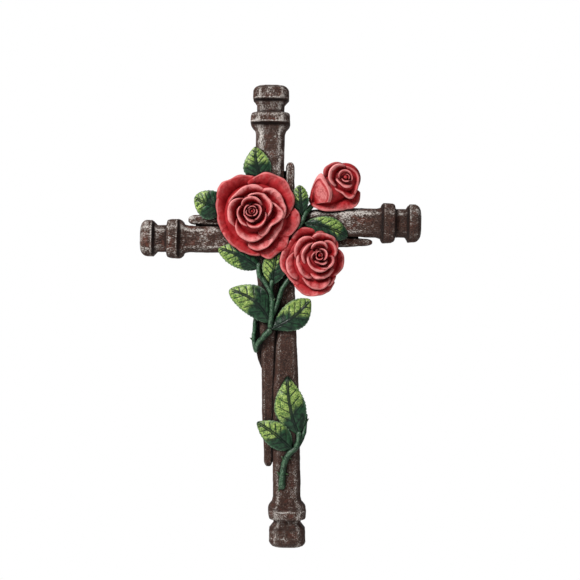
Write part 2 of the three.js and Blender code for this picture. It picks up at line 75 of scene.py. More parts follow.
# Cap, neck and collar are (length, half width), and under is how long the hollows below the cap and the
# collar are. point is the share of the width that the last taper leaves. hollow is how dark the painted
# shade in the hollows is, rims places the bright rims that aren't beside them, lean moves the silver towards
# the side that the light falls on, as a painted highlight, and bright lists (distance from the head, amount
# of silver).
NAILS = [
    dict(
        head=(-6.5, 96.2), tip=(-5.4, -157.1), bow=-0.8, shank=9.5, point=0.7,
        cap=(12.8, 11.9), neck=(5.2, 9.0), collar=(11.6, 13.0), under=(3.4, 4.6), hollow=1.0, lean=0,
        bright=[(0, 0.5), (8, 0.45), (30, 0.6), (60, 0.72), (75, 0.3), (115, 0.12), (260, 0.1)],
    ),
    dict(
        head=(8.0, -210.6), tip=(6.9, 45.2), bow=1.8, shank=9.1, point=0.75,
        cap=(15.2, 11.9), neck=(3.0, 9.0), collar=(11.6, 12.5), under=(3.4, 4.8), hollow=0.4, lean=0,
        rims=[6.7, 24.4],
        bright=[(0, 0.3), (20, 0.4), (32, 0.35), (45, 0.25), (60, 0.12), (120, 0.1), (210, 0.3), (260, 0.6)],
    ),
    dict(
        head=(-92.3, -6.3), tip=(62.0, -7.4), bow=0.0, shank=8.7, point=0.64,
        cap=(11.0, 11.9), neck=(6.4, 8.8), collar=(11.8, 12.9), under=(2.8, 4.2), hollow=0.95, lean=0.15,
        bright=[(0, 0.62), (20, 0.45), (32, 0.5), (70, 0.36), (110, 0.34), (160, 0.34)],
    ),
    dict(
        head=(94.1, 5.5), tip=(-60.5, 6.2), bow=0.0, shank=9.5, point=0.75,
        cap=(9.8, 12.3), neck=(7.2, 9.3), collar=(9.6, 13.1), under=(1.7, 1.7), hollow=1.0, lean=0.6,
        bright=[(0, 0.4), (10, 0.2), (28, 0.25), (42, 0.45), (60, 0.9), (90, 0.6), (160, 0.6)],
    ),
]
# Webs of resin between the nails, as (left, right, low, high), and the fillet that carries the lowest twig.
WEB_OUT = 5.0
WEBS = [(-7, 8, -155, 40), (-56, 53, -8, 7)]
FILLET = [(-8, -57), (-14, -57), (-15.2, -70), (-14.8, -79), (-13.2, -86), (-10.8, -92), (-8, -92)]
FILLET_OUT = 9.0

# Petals: (from, to, radii, out, brightness). A rim runs between two directions seen from the middle of its
# flower, in degrees. Its radii are spaced evenly between them, out is how far it stands from the wall, and
# brightness is how pale it is painted. A flower's body is a turned profile of (radius, out), its shift moves
# that body's foot aside, cup is the depth of its petals, and ruffle is how wavy their rims are.
PETAL_THICKNESS = 1.9
TUCK = 9.0
TUCK_DROP = 2.6
TUCK_IN = 0.1
PETAL_CUP = 0.45
CUP_POWER = 1.9
PETAL_CREST = 0.92
PETAL_LIP = 1.0
PETAL_GRID = 0.75
# The closed back of a petal's section, as (share of the way out, depth behind the face in thicknesses).
PETAL_BACK = [(1.0, 0.12), (1.0, 0.42), (0.985, 0.75), (0.85, 1.05), (0.55, 1.25), (0.2, 1.4)]
RUFFLE_SIZE = 6.5
FRILL_HEIGHT, FRILL_SIZE = 0.3, 3
WAVE_HEIGHT, WAVE_SIZE = 0.95, 5.2
CREASE_HEIGHT, CREASE_SIZE = 0.34, 1.9
ARC_DEGREES = 57  # degrees in which a petal's rim is as long as its radius
NOISE_GAP = 7.3  # keeps the noise of one petal apart from the next one's
TURNED_STEPS, TURNED_SIDES = 24, 36
# The dome of a flower's heart, as (radius, drop from its top), and its foot's radius, in half widths.
HEART_DOME = [(0, 0), (0.6, 0.1), (1, 0.5), (1.5, 1.3)]
HEART_FOOT = 2.6
LARGE_ROSE_PETALS = [
    (88, 158, [24.4, 26, 27.8, 26.8], 19.8, 0.4),
    (157, 217, [26.4, 24.6, 23.6, 25], 19.2, 0.35),
    (215, 282, [25, 25.2, 27.8, 30.2], 19.5, 0.35),
    (282, 330, [28.8, 32.8, 31.5, 27.6], 19.3, 0.45),
    (328, 364, [27.5, 31, 31.5, 28], 19.8, 0.5),
    (0, 91, [26.4, 29.8, 29, 23], 20.8, 0.45),
    (60, 150, [16.8, 18.5, 16.6, 18.5], 23.4, 0.9),
    (-2, 63, [23.8, 22.5, 21.6, 17.4], 24, 1.15),
    (272, 342, [25.2, 26, 22, 23], 22.8, 0.85),
    (126, 214, [11.6, 15, 16, 16.8], 25.5, 0.95),
    (212, 296, [13.4, 17.6, 20, 18.6], 25, 0.85),
    (296, 384, [18.2, 16, 20.6, 15], 26.5, 1.1),
    (-14, 97, [12, 13.8, 14.6, 11.5], 29, 1.3),
    (148, 253, [8.2, 10.2, 10.4, 10.8], 29, 0.85),
    (251, 349, [9.6, 11.4, 11.8, 11], 30, 0.95),
    (42, 141, [8.6, 9.2, 9.8, 9.2], 31, 0.9),
    (-68, 80, [6.7, 6.2, 6.8, 4.8], 31.6, 0.8),
    (200, 284, [6.3, 5.8, 6.7, 6.8], 31.4, 0.8),
    (106, 206, [4.9, 5.5, 5.5, 5.8], 32.2, 0.8),
    (20, 160, [3.7, 3.8, 3.3, 3.3], 32.4, 0.8),
    (150, 292, [3.3, 3.9, 3.4, 3.2], 32.2, 0.8),
    (-75, 30, [3, 3.3, 3.7, 3.6], 32.6, 0.8),
    (60, 300, [1.9, 2, 1.8, 2], 32.5, 0.7),
    (-80, 80, [1.7, 1.6, 1.8, 1.7], 32.4, 0.7),
]
LARGE_ROSE = dict(
    centre=(-17.8, 11.1),
    shift=(2.5, -1.5),
    body=[(0, 26), (7, 24), (12, 21), (16.5, 18.8), (20.5, 17.6), (22, 11), (15, -1)],
    cup=8.0,
    ruffle=1.15,
    petals=LARGE_ROSE_PETALS,
    heart=(0.9, 27, 31.6),
)
SECOND_ROSE_PETALS = [
    (96, 152, [17, 20.4, 22.6, 22.4], 18.2, 0.45),
    (150, 212, [22.4, 23.8, 27, 25], 18.6, 0.5),
    (206, 232, [24.8, 25.2, 25.6, 25.8], 18, 0.5),
    (230, 292, [26, 28, 26.2, 22.4], 17.8, 0.45),
    (286, 306, [22.6, 21.6, 19.6, 18], 17.6, 0.5),
    (302, 374, [18, 17.6, 16.2, 14.4], 18.4, 0.5),
    (12, 100, [13.2, 14.8, 15.4, 17], 19, 0.5),
    (178, 220, [18.1, 22, 23.8, 23.9], 20.6, 0.75),
    (236, 288, [19.3, 22, 22.6, 20], 20.4, 0.7),
    (112, 186, [13.2, 16.8, 17.3, 16.3], 21.8, 0.7),
    (42, 112, [14.6, 15.6, 14.7, 13.6], 21.2, 0.7),
    (182, 242, [15.1, 16.4, 17.3, 18.5], 22.8, 0.9),
    (245, 308, [14.7, 15.4, 14.7, 14], 22.4, 0.85),
    (128, 210, [10.7, 11, 12.2, 11.8], 24.5, 0.9),
    (-2, 64, [10.1, 11.7, 12.2, 10.9], 24, 0.8),
    (192, 296, [9, 9.8, 11, 11.6], 26, 1),
    (262, 352, [9.1, 9.9, 10.8, 9.5], 25, 0.9),
    (52, 135, [8.3, 9.5, 9.2, 8.3], 27, 0.95),
    (111, 202, [5.2, 3.6, 5.3, 6.9], 27.6, 0.8),
    (235, 315, [6, 5.7, 6.9, 6.9], 27.4, 0.8),
    (-52, 90, [4.3, 4.8, 5, 4.5], 28.2, 0.9),
    (60, 200, [2.8, 3, 2.8, 2.6], 28.6, 0.8),
    (190, 330, [2.6, 3.1, 3, 2.8], 28.6, 0.8),
    (300, 480, [1.6, 1.6, 1.5, 1.5], 28.4, 0.7),
]
SECOND_ROSE = dict(
    centre=(26.8, -16.8),
    shift=(-5, -3.5),
    body=[(0, 23.4), (6, 22), (10, 19.8), (13.5, 18), (16.5, 16.8), (17.5, 10), (11, -1)],
    cup=7.0,
    ruffle=0.75,
    petals=SECOND_ROSE_PETALS,
    heart=(0.8, 23, 27.8),
)
BUD_PETALS = [
    (221, 310, [31.5, 25.6, 21.4, 19.8, 15], 17.5, 0.62),
    (98, 172, [9.4, 11.2, 13.6, 15.4, 15.2], 19.5, 0.15),
    (222, 296, [11.6, 10.9, 11.4, 14.8, 14], 22.4, 0.9),
    (-58, 100, [14.2, 10.2, 8.8, 7.8, 7.4, 9], 23.5, 0.5),
    (100, 212, [8.6, 11.2, 11.8, 10], 25.3, 1.4),
    (193, 306, [7.2, 6, 6.6, 7.6], 25.8, 1.1),
    (-25, 178, [4.9, 4.4, 4.7, 5.4, 5.5], 27, 0.8),
    (200, 320, [3.2, 3, 3, 3.4], 27, 0.8),
    (-40, 100, [2.6, 2.4, 2.2, 2.2], 27.2, 0.7),
]
BUD = dict(
    centre=(43.2, 34.5),
    foot=(21.4, 17.2, 10),
    crown=(40.2, 32, 12.5),
    body=[(0, 2.4), (0.12, 5), (0.4, 8.4), (0.7, 9.8), (0.9, 9.2), (1, 6.5)],
    cushion=[(0, 22.4), (4, 22.2), (7.5, 20.8), (9.6, 18), (10.2, 14.5), (7.5, 9)],
    cup=5.0,
    ruffle=0.5,
    petals=BUD_PETALS,
    heart=(0.8, 21, 26.6),
)
BUD_STEPS, BUD_SIDES = 20, 30
BUD_SIDE_ACROSS, BUD_SIDE_DEPTH = 34, 20
# The petal on the bud's left side fans out from the stalk, wraps round the body and turns its lip down.
BUD_SIDE = dict(
    span=(6, 104), radii=[12.3, 14.2, 16, 17.4, 19, 21, 11.6, 6], foot_share=0.04, foot_out=11.5, out=24,
    power=0.62, wrap=9, lip=1.6, lip_from=0.8, lip_width=0.2, fold=0.7, fold_at=0.82, fold_width=0.06,
)

# Leaves: full above 1 moves the widest place towards the tip, and a smaller round makes the ends blunter.
# The yellow-green paint lies between lit's start and stop along the leaf, and tilt moves it towards one side
# of the midrib.
LEAF_THICKNESS = 2.2
LEAF_GRID = 0.55
LEAF_END = 0.5
TOOTH_LENGTH, TOOTH_DEPTH = 2.3, 0.55
MIDRIB_AT, MIDRIB_WIDTH, MIDRIB_DEPTH = 0.55, 0.42, 0.42
CREST_WIDTH, CREST_HEIGHT = 0.62, 0.3
SIDE_VEINS = 6.5
VEIN_WIDTH, VEIN_DEPTH, VEIN_SLANT, VEIN_SHIFT = 0.42, 0.34, 0.85, 0.3
LEAF_WAVE_HEIGHT, LEAF_WAVE_SIZE = 0.35, 4.0
# The closed back of a leaf's section, as (share of the way across, depth in thicknesses).
LEAF_BACK = [(1.0, 0.3), (0.97, 0.7), (0.75, 1.0), (0.5, 1.05), (0.25, 1.0), (0.03, 0.7), (0.0, 0.3)]
LEAF_COLUMNS = ("base", "tip", "bend", "width", "arch", "droop", "full", "round", "tilt", "lit")
LEAF_ROWS = [
    ((-11.1, 31, 16.6), (-16.6, 54.6, 17.4), -1.5, 18.5, 1.8, 1.2, 0.85, 0.85, 0.0, (0.55, 1.2)),
    ((-35.5, 13.8, 14.5), (-56.4, 20.8, 15.5), -1.4, 19.5, 2, 1.4, 0.95, 0.62, 0.0, (0.66, 1.2)),
    ((-13.4, -24.9, 15.6), (-40.1, -12.5, 15.6), 1.5, 16.5, 2, 1.4, 0.95, 0.65, -0.3, (0.62, 1.2)),
    ((-4.4, -36, 16.4), (-1.4, -12.6, 16.6), 0, 16, 0.6, 0.4, 0.95, 0.7, -0.55, (0.42, 1.2)),
    ((-5.2, -61, 16.4), (-32.4, -39.8, 15.6), 4.4, 20, 2.2, 1.4, 1.05, 0.68, -0.12, (0.56, 1.2)),
    ((-4.2, -65.6, 16.6), (21.2, -46, 16.6), 2.2, 18.8, 1.8, 1.2, 1.2, 0.78, -0.3, (0.56, 1.2)),
    ((14.8, 10, 16.8), (12.9, 29.6, 17), 0, 11, 1.4, 1, 1.1, 0.62, -0.1, (0.5, 1.2)),
    ((16.8, 4.7, 17.4), (45.2, -3.8, 17.2), -1.6, 14.6, 1.4, 1, 1.2, 0.62, -0.5, (0.58, 0.8)),
    ((14.9, -136, 16.6), (6.6, -96.9, 17), -2.2, 21, 1.8, 1.6, 0.95, 0.98, -0.16, (0.42, 0.92)),
    ((10.2, -144.9, 17), (-13.1, -127.4, 16.4), 1.3, 17, 1.5, 1.2, 0.9, 0.8, 0.12, (0.5, 0.93)),
]
LEAVES = [dict(zip(LEAF_COLUMNS, row)) for row in LEAF_ROWS]

# Stems: (half thickness at the start and at the end), then the points of the path.
STEM_SIDES = 16
STEM_STEP = 0.9
STEM_BUMPS = [(0.22, 2.4), (0.1, 1.2)]
STEMS = [
    ((1.5, 2.1), [(-14.8, -81.4, 12.5), (-12.9, -75, 14.6), (-8.8, -70.2, 16.4), (-4.3, -65.4, 16.4)]),
    ((1.9, 1.6), [(-5.2, -66, 15.8), (-4.4, -56, 16.8), (-4.1, -47.4, 17), (-5.4, -41, 17),
                  (-8.9, -34.6, 16.6), (-12.6, -30, 16.2), (-13.4, -22, 15.4)]),
    ((1.4, 1.5), [(-5, -43, 16.6), (-5, -38, 17), (-4.4, -33, 16.4)]),
    ((1.7, 1.4), [(-4.2, -58, 16), (-0.5, -48, 16.4), (1.8, -40.4, 16.2), (4.7, -35.3, 15.8),
                  (10, -27.6, 14)]),
    ((1.5, 1.3), [(-14.8, -80.6, 12), (-16.1, -73, 11), (-15.6, -66.6, 11), (-15, -58.6, 11.5),
                  (-11.4, -48, 13)]),
    ((1.6, 1.5), [(22, 17.2, 13), (17.2, 10.6, 16.4), (15.4, 6, 17.2), (12.4, 0, 16.2)]),
    ((2.5, 1.2), [(3.6, -171.6, 15.8), (4.2, -160.7, 16.6), (5.9, -152.3, 17), (8.6, -147.6, 17.2),
                  (12.2, -144.6, 17), (15.8, -139.4, 16), (17.9, -134.2, 14.8), (18.8, -127.8, 13.8),
                  (19.2, -121.4, 13)]),
    ((1.7, 1.6), [(12, -145.2, 16.8), (14.2, -139.5, 17), (14.8, -133, 16.4)]),
    ((1.6, 1.2), [(16.2, -141, 9), (17.4, -134, 8.5), (18.2, -126, 9)]),
]
# Thorns, from the middle of the stem to the point.
THORN_HALF = 1.1
THORN_POINT = 0.06
THORN_RINGS, THORN_SIDES = 8, 12
THORNS = [
    ((3.2, -163, 16.4), (0.4, -159.6, 17)),
    ((6.6, -150, 17), (10, -151, 17.4)),
    ((-16, -73.4, 11), (-18.8, -71.6, 11.6)),
    ((-4.2, -47.6, 17.2), (-1.9, -45.4, 19)),
    ((5.6, -153.4, 16.8), (3.3, -149.2, 17.6)),
    ((2.9, -168.6, 15.8), (1.5, -173, 16)),
    ((4.4, -160.4, 16.6), (8.2, -161.6, 17.2)),
    ((19, -127, 13.6), (21.2, -124.6, 14)),
]


def mix(a, b, t):
    return a + (b - a) * t


def smooth(t, low, high):
    s = np.clip((np.asarray(t, float) - low) / (high - low), 0, 1)
    return s * s * (3 - 2 * s)


def lattice(i, seed):
    """A repeatable value from -1 to 1 at each whole-number point."""
    h = (i[..., 0] * 374761393 + i[..., 1] * 668265263 + i[..., 2] * 1442695041 + seed * 97531) & 0xFFFFFFFF
    h = ((h ^ (h >> 13)) * 1274126177) & 0xFFFFFFFF
    return ((h ^ (h >> 16)) & 0xFFFFFF) / 0x7FFFFF - 1


def noise(points, size, seed):
    """Smooth repeatable noise from -1 to 1 whose bumps are about size apart."""
    q = np.asarray(points, float) / size
    low = np.floor(q).astype(np.int64)
    f = q - low
    f = f * f * (3 - 2 * f)
    total = np.zeros(q.shape[:-1])
    for corner in range(8):
        step = np.array([corner & 1, corner >> 1 & 1, corner >> 2 & 1])
        weight = np.prod(np.where(step, f, 1 - f), axis=-1)
        total += weight * lattice(low + step, seed)
    return total


def spline(values, t):
    """A smooth curve through evenly spaced values or points, at shares t of its length."""
    values = np.asarray(values, float)
    last = len(values) - 1
    x = np.clip(np.asarray(t, float), 0, 1) * last
    i = np.minimum(x.astype(int), last - 1)
    f = x - i
    if values.ndim > 1:
        f = f[..., None]
    a, b = values[np.maximum(i - 1, 0)], values[i]
    c, d = values[i + 1], values[np.minimum(i + 2, last)]
    return 0.5 * (2 * b + (c - a) * f + (2 * a - 5 * b + 4 * c - d) * f**2 + (3 * b - a - 3 * c + d) * f**3)


FORMS = []


def add_loft(rings, kind, paint=None):
    """A closed form through rings of points, with a fan over each end. paint holds the points' values."""
    count, sides, _ = rings.shape
    points = np.concatenate([rings.reshape(-1, 3), rings[0].mean(0)[None], rings[-1].mean(0)[None]])
    i, j = np.meshgrid(np.arange(count - 1), np.arange(sides), indexing="ij")
    after = (j + 1) % sides
    row, next_row = i * sides, (i + 1) * sides
    quads = np.stack([row + j, row + after, next_row + after, next_row + j], -1).reshape(-1, 4)
    j = np.arange(sides)
    after = (j + 1) % sides
    start, end, last = count * sides, count * sides + 1, (count - 1) * sides
    fans = np.concatenate([
        np.stack([np.full(sides, start), after, j], -1),
        np.stack([np.full(sides, end), last + j, last + after], -1),
    ])
    values = {}
    for name, value in (paint or {}).items():
        value = np.broadcast_to(value, (count, sides))
        values[name] = np.concatenate([value.reshape(-1), [value[0].mean()], [value[-1].mean()]])
    FORMS.append(dict(points=points, quads=quads, fans=fans, kind=kind, paint=values))


def normals_of(at, u, v):
    """Directions at right angles to the surface at(u, v)."""
    step = 1e-3
    iu, iv = np.clip(u, step, 1 - step), np.clip(v, step, 1 - step)
    du = at(iu + step, iv) - at(iu - step, iv)
    dv = at(iu, iv + step) - at(iu, iv - step)
    n = np.cross(du, dv)
    return n / (np.linalg.norm(n, axis=-1, keepdims=True) + 1e-12)


def add_shell(at, across, section, thickness, kind, paint):
    """A closed shell behind the surface at(u, v). The section lists (v, depth) round it."""
    section = np.asarray(section, float)
    u, v = np.meshgrid(np.linspace(0, 1, across + 1), section[:, 0], indexing="ij")
    depth = np.broadcast_to(section[:, 1], v.shape)
    rings = at(u, v) - normals_of(at, u, v) * (thickness * depth)[..., None]
    values = {name: f(u, v, depth)[:, ::-1] for name, f in paint.items()}
    add_loft(rings[:, ::-1], kind, values)


def places_of_head(nail):
    """Where the neck and the head end, and where the hollows below the cap and the collar start."""
    cap_length = nail["cap"][0]
    neck_end = cap_length + nail["neck"][0]
    head_end = neck_end + nail["collar"][0]
    return neck_end, head_end, cap_length - nail["under"][0], head_end - nail["under"][1]


def head_profile(nail):
    """Distances from the end of the head, with the half width of the sides and of the front at each."""
    (cap_length, cap), neck, collar, shank = nail["cap"], nail["neck"][1], nail["collar"][1], nail["shank"]
    neck_end, head_end, under_cap, under_collar = places_of_head(nail)
    cut = nail["under"][0] / CAP_HOLLOW
    step = nail["under"][1] / COLLAR_HOLLOW
    cap_end = [(distance, cap - sides, cap - front) for distance, sides, front in CAP_END]
    cap_hollow = [
        (under_cap - 0.5, cap, cap), (under_cap, cap - 0.1, cap - 0.35),
        (under_cap + 0.5 * cut, cap - 0.4, neck + 0.6), (under_cap + 1.1 * cut, cap - 0.9, neck + 0.1),
        (under_cap + 2.2 * cut, cap - 1.7, neck), (under_cap + 3.2 * cut, neck + 0.4, neck),
        (cap_length + 0.5, neck, neck),
    ]
    collar_start = [
        (neck_end - 0.4, neck, neck), (neck_end + 0.1, neck + 0.6, neck + 0.3),
        (neck_end + 0.5, collar - 1.7, collar - 1.2), (neck_end + 1.0, collar - 0.8, collar - 0.35),
        (neck_end + 2.2, collar - 0.3, collar),
    ]
    collar_hollow = [
        (under_collar - 0.6, collar, collar), (under_collar, collar, collar - 0.4),
        (under_collar + 0.5 * step, collar, shank + 1.1),
        (under_collar + 1.1 * step, collar - 0.1, shank + 0.4),
        (under_collar + 2.2 * step, collar - 0.5, shank + 0.2),
        (head_end - 0.8 * step, collar - 1.8, shank + 0.2),
        (head_end, shank + 0.8, shank + 0.1), (head_end + 3, shank, shank),
    ]
    return cap_end + cap_hollow + collar_start + collar_hollow


def shank_profile(nail, start, length):
    """The same list from the head on, over both tapers to the rounded tip."""
    shank = nail["shank"]
    stations = []
    for s in np.linspace(0, 1, SHANK_STATIONS)[1:]:
        distance = mix(start, length - TIP_ROUND, s)
        share = distance / length
        taper = mix(1, TAPER_SHARE, smooth(share, TAPER_FROM, TAPER_TO))
        half = shank * float(taper) * float(mix(1, nail["point"], smooth(share, POINT_FROM, POINT_TO)))
        stations.append((distance, half, half))
    tip = shank * TAPER_SHARE * nail["point"]
    return stations + [(length - TIP_ROUND * back, tip * share, tip * share) for back, share in TIP_END]


def hollow_shade_of(nail, distance):
    """The painted shade in the hollows beside the cap and the collar, and where their rims are."""
    neck_end, head_end, under_cap, under_collar = places_of_head(nail)
    marks = [
        (under_cap - 0.2, 0), (under_cap + 0.3, 1), (under_cap + 1.1, 1), (under_cap + 2.4, 0.2),
        (neck_end - 1.0, 0.1), (neck_end - 0.1, 0.9), (neck_end + 0.5, 0.7), (neck_end + 1.2, 0),
        (under_collar - 0.2, 0), (under_collar + 0.3, 1), (under_collar + 1.2, 1), (under_collar + 2.6, 0.2),
        (head_end + 4, 0),
    ]
    dark = nail["hollow"] * np.interp(distance, [m[0] for m in marks], [m[1] for m in marks])
    rims = nail.get("rims", [under_cap - 0.6, under_collar - 0.6, neck_end + 2.2])
    return dark, sum(np.exp(-(((distance - rim) / RIM_WIDTH) ** 2)) for rim in rims)


def nail_section():
    """Points round a square with cut corners, of half width 1, and how near each is to a front corner."""
    inner = 1 - NAIL_CHAMFER
    corners = [
        (1, -inner), (1, inner), (inner, 1), (-inner, 1),
        (-1, inner), (-1, -inner), (-inner, -1), (inner, -1),
    ]
    section = []
    for k, a in enumerate(corners):
        b = corners[(k + 1) % len(corners)]
        count = FACET_POINTS if k % 2 == 0 else CHAMFER_POINTS
        for s in np.arange(count) / count:
            section.append((mix(a[0], b[0], s), mix(a[1], b[1], s)))
    section = np.array(section)
    near_corner = np.exp(-(((np.abs(section[:, 0]) - inner) / CORNER_WIDTH) ** 2)) * (section[:, 1] > 0.8)
    rounded = 0.5 * section + 0.25 * (np.roll(section, 1, 0) + np.roll(section, -1, 0))
    return rounded, near_corner


def marks_on(local, mark, seed):
    height, stretch, size = mark
    return height * noise(local / [stretch, 1, 1], size, seed)


def add_nail(nail, seed):
    head, tip = np.array(nail["head"]), np.array(nail["tip"])
    length = float(np.linalg.norm(tip - head))
    axis = (tip - head) / length
    side = np.array([-axis[1], axis[0]])
    head_stations = head_profile(nail)
    shank_stations = shank_profile(nail, head_stations[-1][0], length)
    stations = np.array(head_stations + shank_stations)
    distance = np.unique(np.concatenate([
        stations[:len(head_stations), 0],
        np.arange(0, HEAD_SPAN, HEAD_STEP),
        np.arange(HEAD_SPAN, length, NAIL_STEP),
        stations[-len(TIP_END) - 1:, 0],
    ]))
    distance = distance[np.concatenate([[True], np.diff(distance) > 0.12])]
    wide = np.interp(distance, stations[:, 0], stations[:, 1])[:, None]
    deep = np.interp(distance, stations[:, 0], stations[:, 2])[:, None]
    share = distance / length
    section, near_corner = nail_section()
    radial = section / np.linalg.norm(section, axis=1, keepdims=True)
    centre = head + axis * distance[:, None] + side * (nail["bow"] * np.sin(np.pi * share))[:, None]
    out = NAIL_AXIS_OUT + NAIL_TIP_RISE * smooth(share, TAPER_FROM, 1)
    across, front = wide * section[:, 0], deep * section[:, 1]
    x = centre[:, :1] + side[0] * across
    y = centre[:, 1:] + side[1] * across
    place = np.stack([x, y, out[:, None] + front], -1)
    local = np.stack([np.broadcast_to(distance[:, None], across.shape), across, front], -1)
    dents = marks_on(local, DENTS[0], seed) + marks_on(local, DENTS[1], seed + 1)
    ridges = noise(local / [RIDGE_STRETCH, 1, 1], RIDGE_SIZE, seed + 2)
    ends = smooth(distance, 0, 3) * smooth(length - distance, 0, 4)
    push = (dents + RIDGE_HEIGHT * ridges) * mix(0.45, 1, ends)[:, None]
    place[..., 0] += side[0] * radial[:, 0] * push
    place[..., 1] += side[1] * radial[:, 0] * push
    place[..., 2] = np.maximum(place[..., 2] + radial[:, 1] * push, BEHIND_WALL)
    bright = np.array(nail["bright"], float)
    # Painted shade in the hollows below the cap and the collar, strongest on the front.
    hollow_shade, rim = hollow_shade_of(nail, distance)
    front_share = mix(0.3, 1, smooth(section[:, 1], 0.5, 0.85))
    # Dry-brushed silver sits mostly on the front. lean moves it towards the side that the light falls on,
    # which is partly a painted highlight.
    dragged = (1 + nail["lean"] * side[1] * section[:, 0]) * mix(0.55, 1, smooth(section[:, 1], 0.6, 0.9))
    add_loft(place, IRON, {
        "relief": 0.5 + 0.5 * np.clip(ridges * 0.8 + dents * 1.4, -1, 1),
        "silver": np.interp(distance, bright[:, 0], bright[:, 1])[:, None] * dragged[None],
        "corner": np.maximum(near_corner[None], 0.9 * rim[:, None] * (section[:, 1] > 0.2)[None]),
        "hollow_shade": hollow_shade[:, None] * front_share[None],
        "lying": float(abs(axis[0]) > 0.5),
    })


def add_block(outline, out):
    """An iron-coloured block of an outline, from behind the wall to its front."""
    outline = np.array(outline, float)
    layers = [np.column_stack([outline, np.full(len(outline), z)]) for z in (BEHIND_WALL, out)]
    add_loft(np.stack(layers), IRON)


def petal_section(depth_mm):
    count = max(5, int(round(depth_mm / PETAL_GRID)))
    front = [(v, 0.0) for v in np.linspace(0.06, 0.985, count)]
    return front + PETAL_BACK


def in_front(depth):
    """1 on the face of a petal, and 0 on its back."""
    return 1 - smooth(depth, 0.3, 1.0)


def rise(v, cup, lip):
    """How far the petal's surface lies behind its crest at a share of the way out."""
    inside = np.clip((PETAL_CREST - v) / PETAL_CREST, 0, 1)
    beyond = np.clip((v - PETAL_CREST) / (1 - PETAL_CREST), 0, 1)
    return cup * inside**CUP_POWER + lip * beyond**2


def grown(mean, least, full):
    """A share that is smaller on a small petal, from its mean radius."""
    return min(1, least + mean / full)


def add_petal(rose, petal, seed):
    start, end, radii, out, brightness = petal
    start, end = start - TUCK, end + TUCK
    mean = float(np.mean(radii))
    lip = PETAL_LIP * grown(mean, 0, 12)
    cup = rose["cup"] * grown(mean, 0.35, 16)
    thickness = PETAL_THICKNESS * grown(mean, 0.22, 16)
    wavy = grown(mean, 0, 14)
    lobed = grown(mean, 0.3, 16)
    pale_from = mix(0.1, 0.25, wavy)
    centre = rose["centre"]

    def place(u, v):
        """Millimetres along the rim and towards it, for the noise."""
        along = u * (end - start) * mean / ARC_DEGREES
        return np.stack([along, v * mean * PETAL_CUP, np.full_like(u, seed * NOISE_GAP)], -1)

    def at(u, v):
        angle = np.radians(mix(end, start, u))
        edge = np.abs(2 * u - 1) ** 4
        where = place(u, v)
        ruffle = rose["ruffle"] * noise(where, RUFFLE_SIZE, seed + 9)
        ruffle += FRILL_HEIGHT * noise(where, FRILL_SIZE, seed + 3)
        rim = spline(radii, 1 - u) * (1 - TUCK_IN * edge)
        radius = rim * (1 - PETAL_CUP * (1 - v)) + lobed * ruffle * v * v
        wave = WAVE_HEIGHT * noise(where, WAVE_SIZE, seed) * v * v
        wave += CREASE_HEIGHT * noise(where * [1, 0.3, 1], CREASE_SIZE, seed + 5)
        z = out - rise(v, cup, lip) - TUCK_DROP * edge + wave * wavy
        return np.stack([centre[0] + np.cos(angle) * radius, centre[1] + np.sin(angle) * radius, z], -1)

    def pale(u, v, depth):
        where = place(u, v)
        patchy = 0.76 + 0.3 * noise(where, 4.5, seed + 20)
        patchy += 0.3 * noise(where * [1, 0.25, 1], 1.6, seed + 21)
        sides = 1 - 0.45 * np.abs(2 * u - 1) ** 3
        return smooth(v, pale_from, 0.88) * in_front(depth) * patchy * sides * brightness

    across = max(8, int(round(math.radians(end - start) * mean * 0.9 / PETAL_GRID)))
    add_shell(at, across, petal_section(mean * PETAL_CUP + lip), thickness, ROSE, {"pale": pale})


def rings_round(axis, side, front, radius, angle):
    """Rings of points round an axis, in the plane of two directions."""
    return axis + side * (np.cos(angle) * radius)[..., None] + front * (np.sin(angle) * radius)[..., None]


def add_turned(profile, centre, pale):
    """A turned rose-coloured body about an axis that stands out from the wall."""
    outline = spline(np.array(profile, float), np.linspace(0, 1, TURNED_STEPS))
    axis = np.array([(centre[0], centre[1], out) for out in outline[:, 1]])[:, None]
    angle = np.radians(np.arange(TURNED_SIDES) * 360 / TURNED_SIDES)
    right, up = np.eye(3)[:2]
    rings = rings_round(axis, right, up, outline[:, :1].clip(0.05), angle)
    add_loft(rings[::-1], ROSE, {"pale": pale})


def add_heart(rose):
    half, low, high = rose["heart"]
    dome = [(half * radius, high - half * drop) for radius, drop in HEART_DOME]
    add_turned(dome + [(half * HEART_FOOT, low)], rose["centre"], 0.25)


def add_rose(rose, seed):
    foot = (rose["centre"][0] + rose["shift"][0], rose["centre"][1] + rose["shift"][1])
    add_turned(rose["body"], foot, 0.0)
    add_heart(rose)
    for k, petal in enumerate(rose["petals"]):
        add_petal(rose, petal, seed + k)


def add_bud_body():
    """The body of the bud, which lies on its side between its foot and its crown."""
    foot, crown = np.array(BUD["foot"], float), np.array(BUD["crown"], float)
    axis = (crown - foot) / np.linalg.norm(crown - foot)
    side = np.array([axis[1], -axis[0], 0])
    side /= np.linalg.norm(side)
    front = np.cross(side, axis)
    profile = spline(BUD["body"], np.linspace(0, 1, BUD_STEPS))
    angle = -np.radians(np.arange(BUD_SIDES) * 360 / BUD_SIDES)
    middle = foot + (crown - foot) * profile[:, None, :1]
    add_loft(rings_round(middle, side, front, profile[:, None, 1], angle), ROSE, {"pale": 0.0})


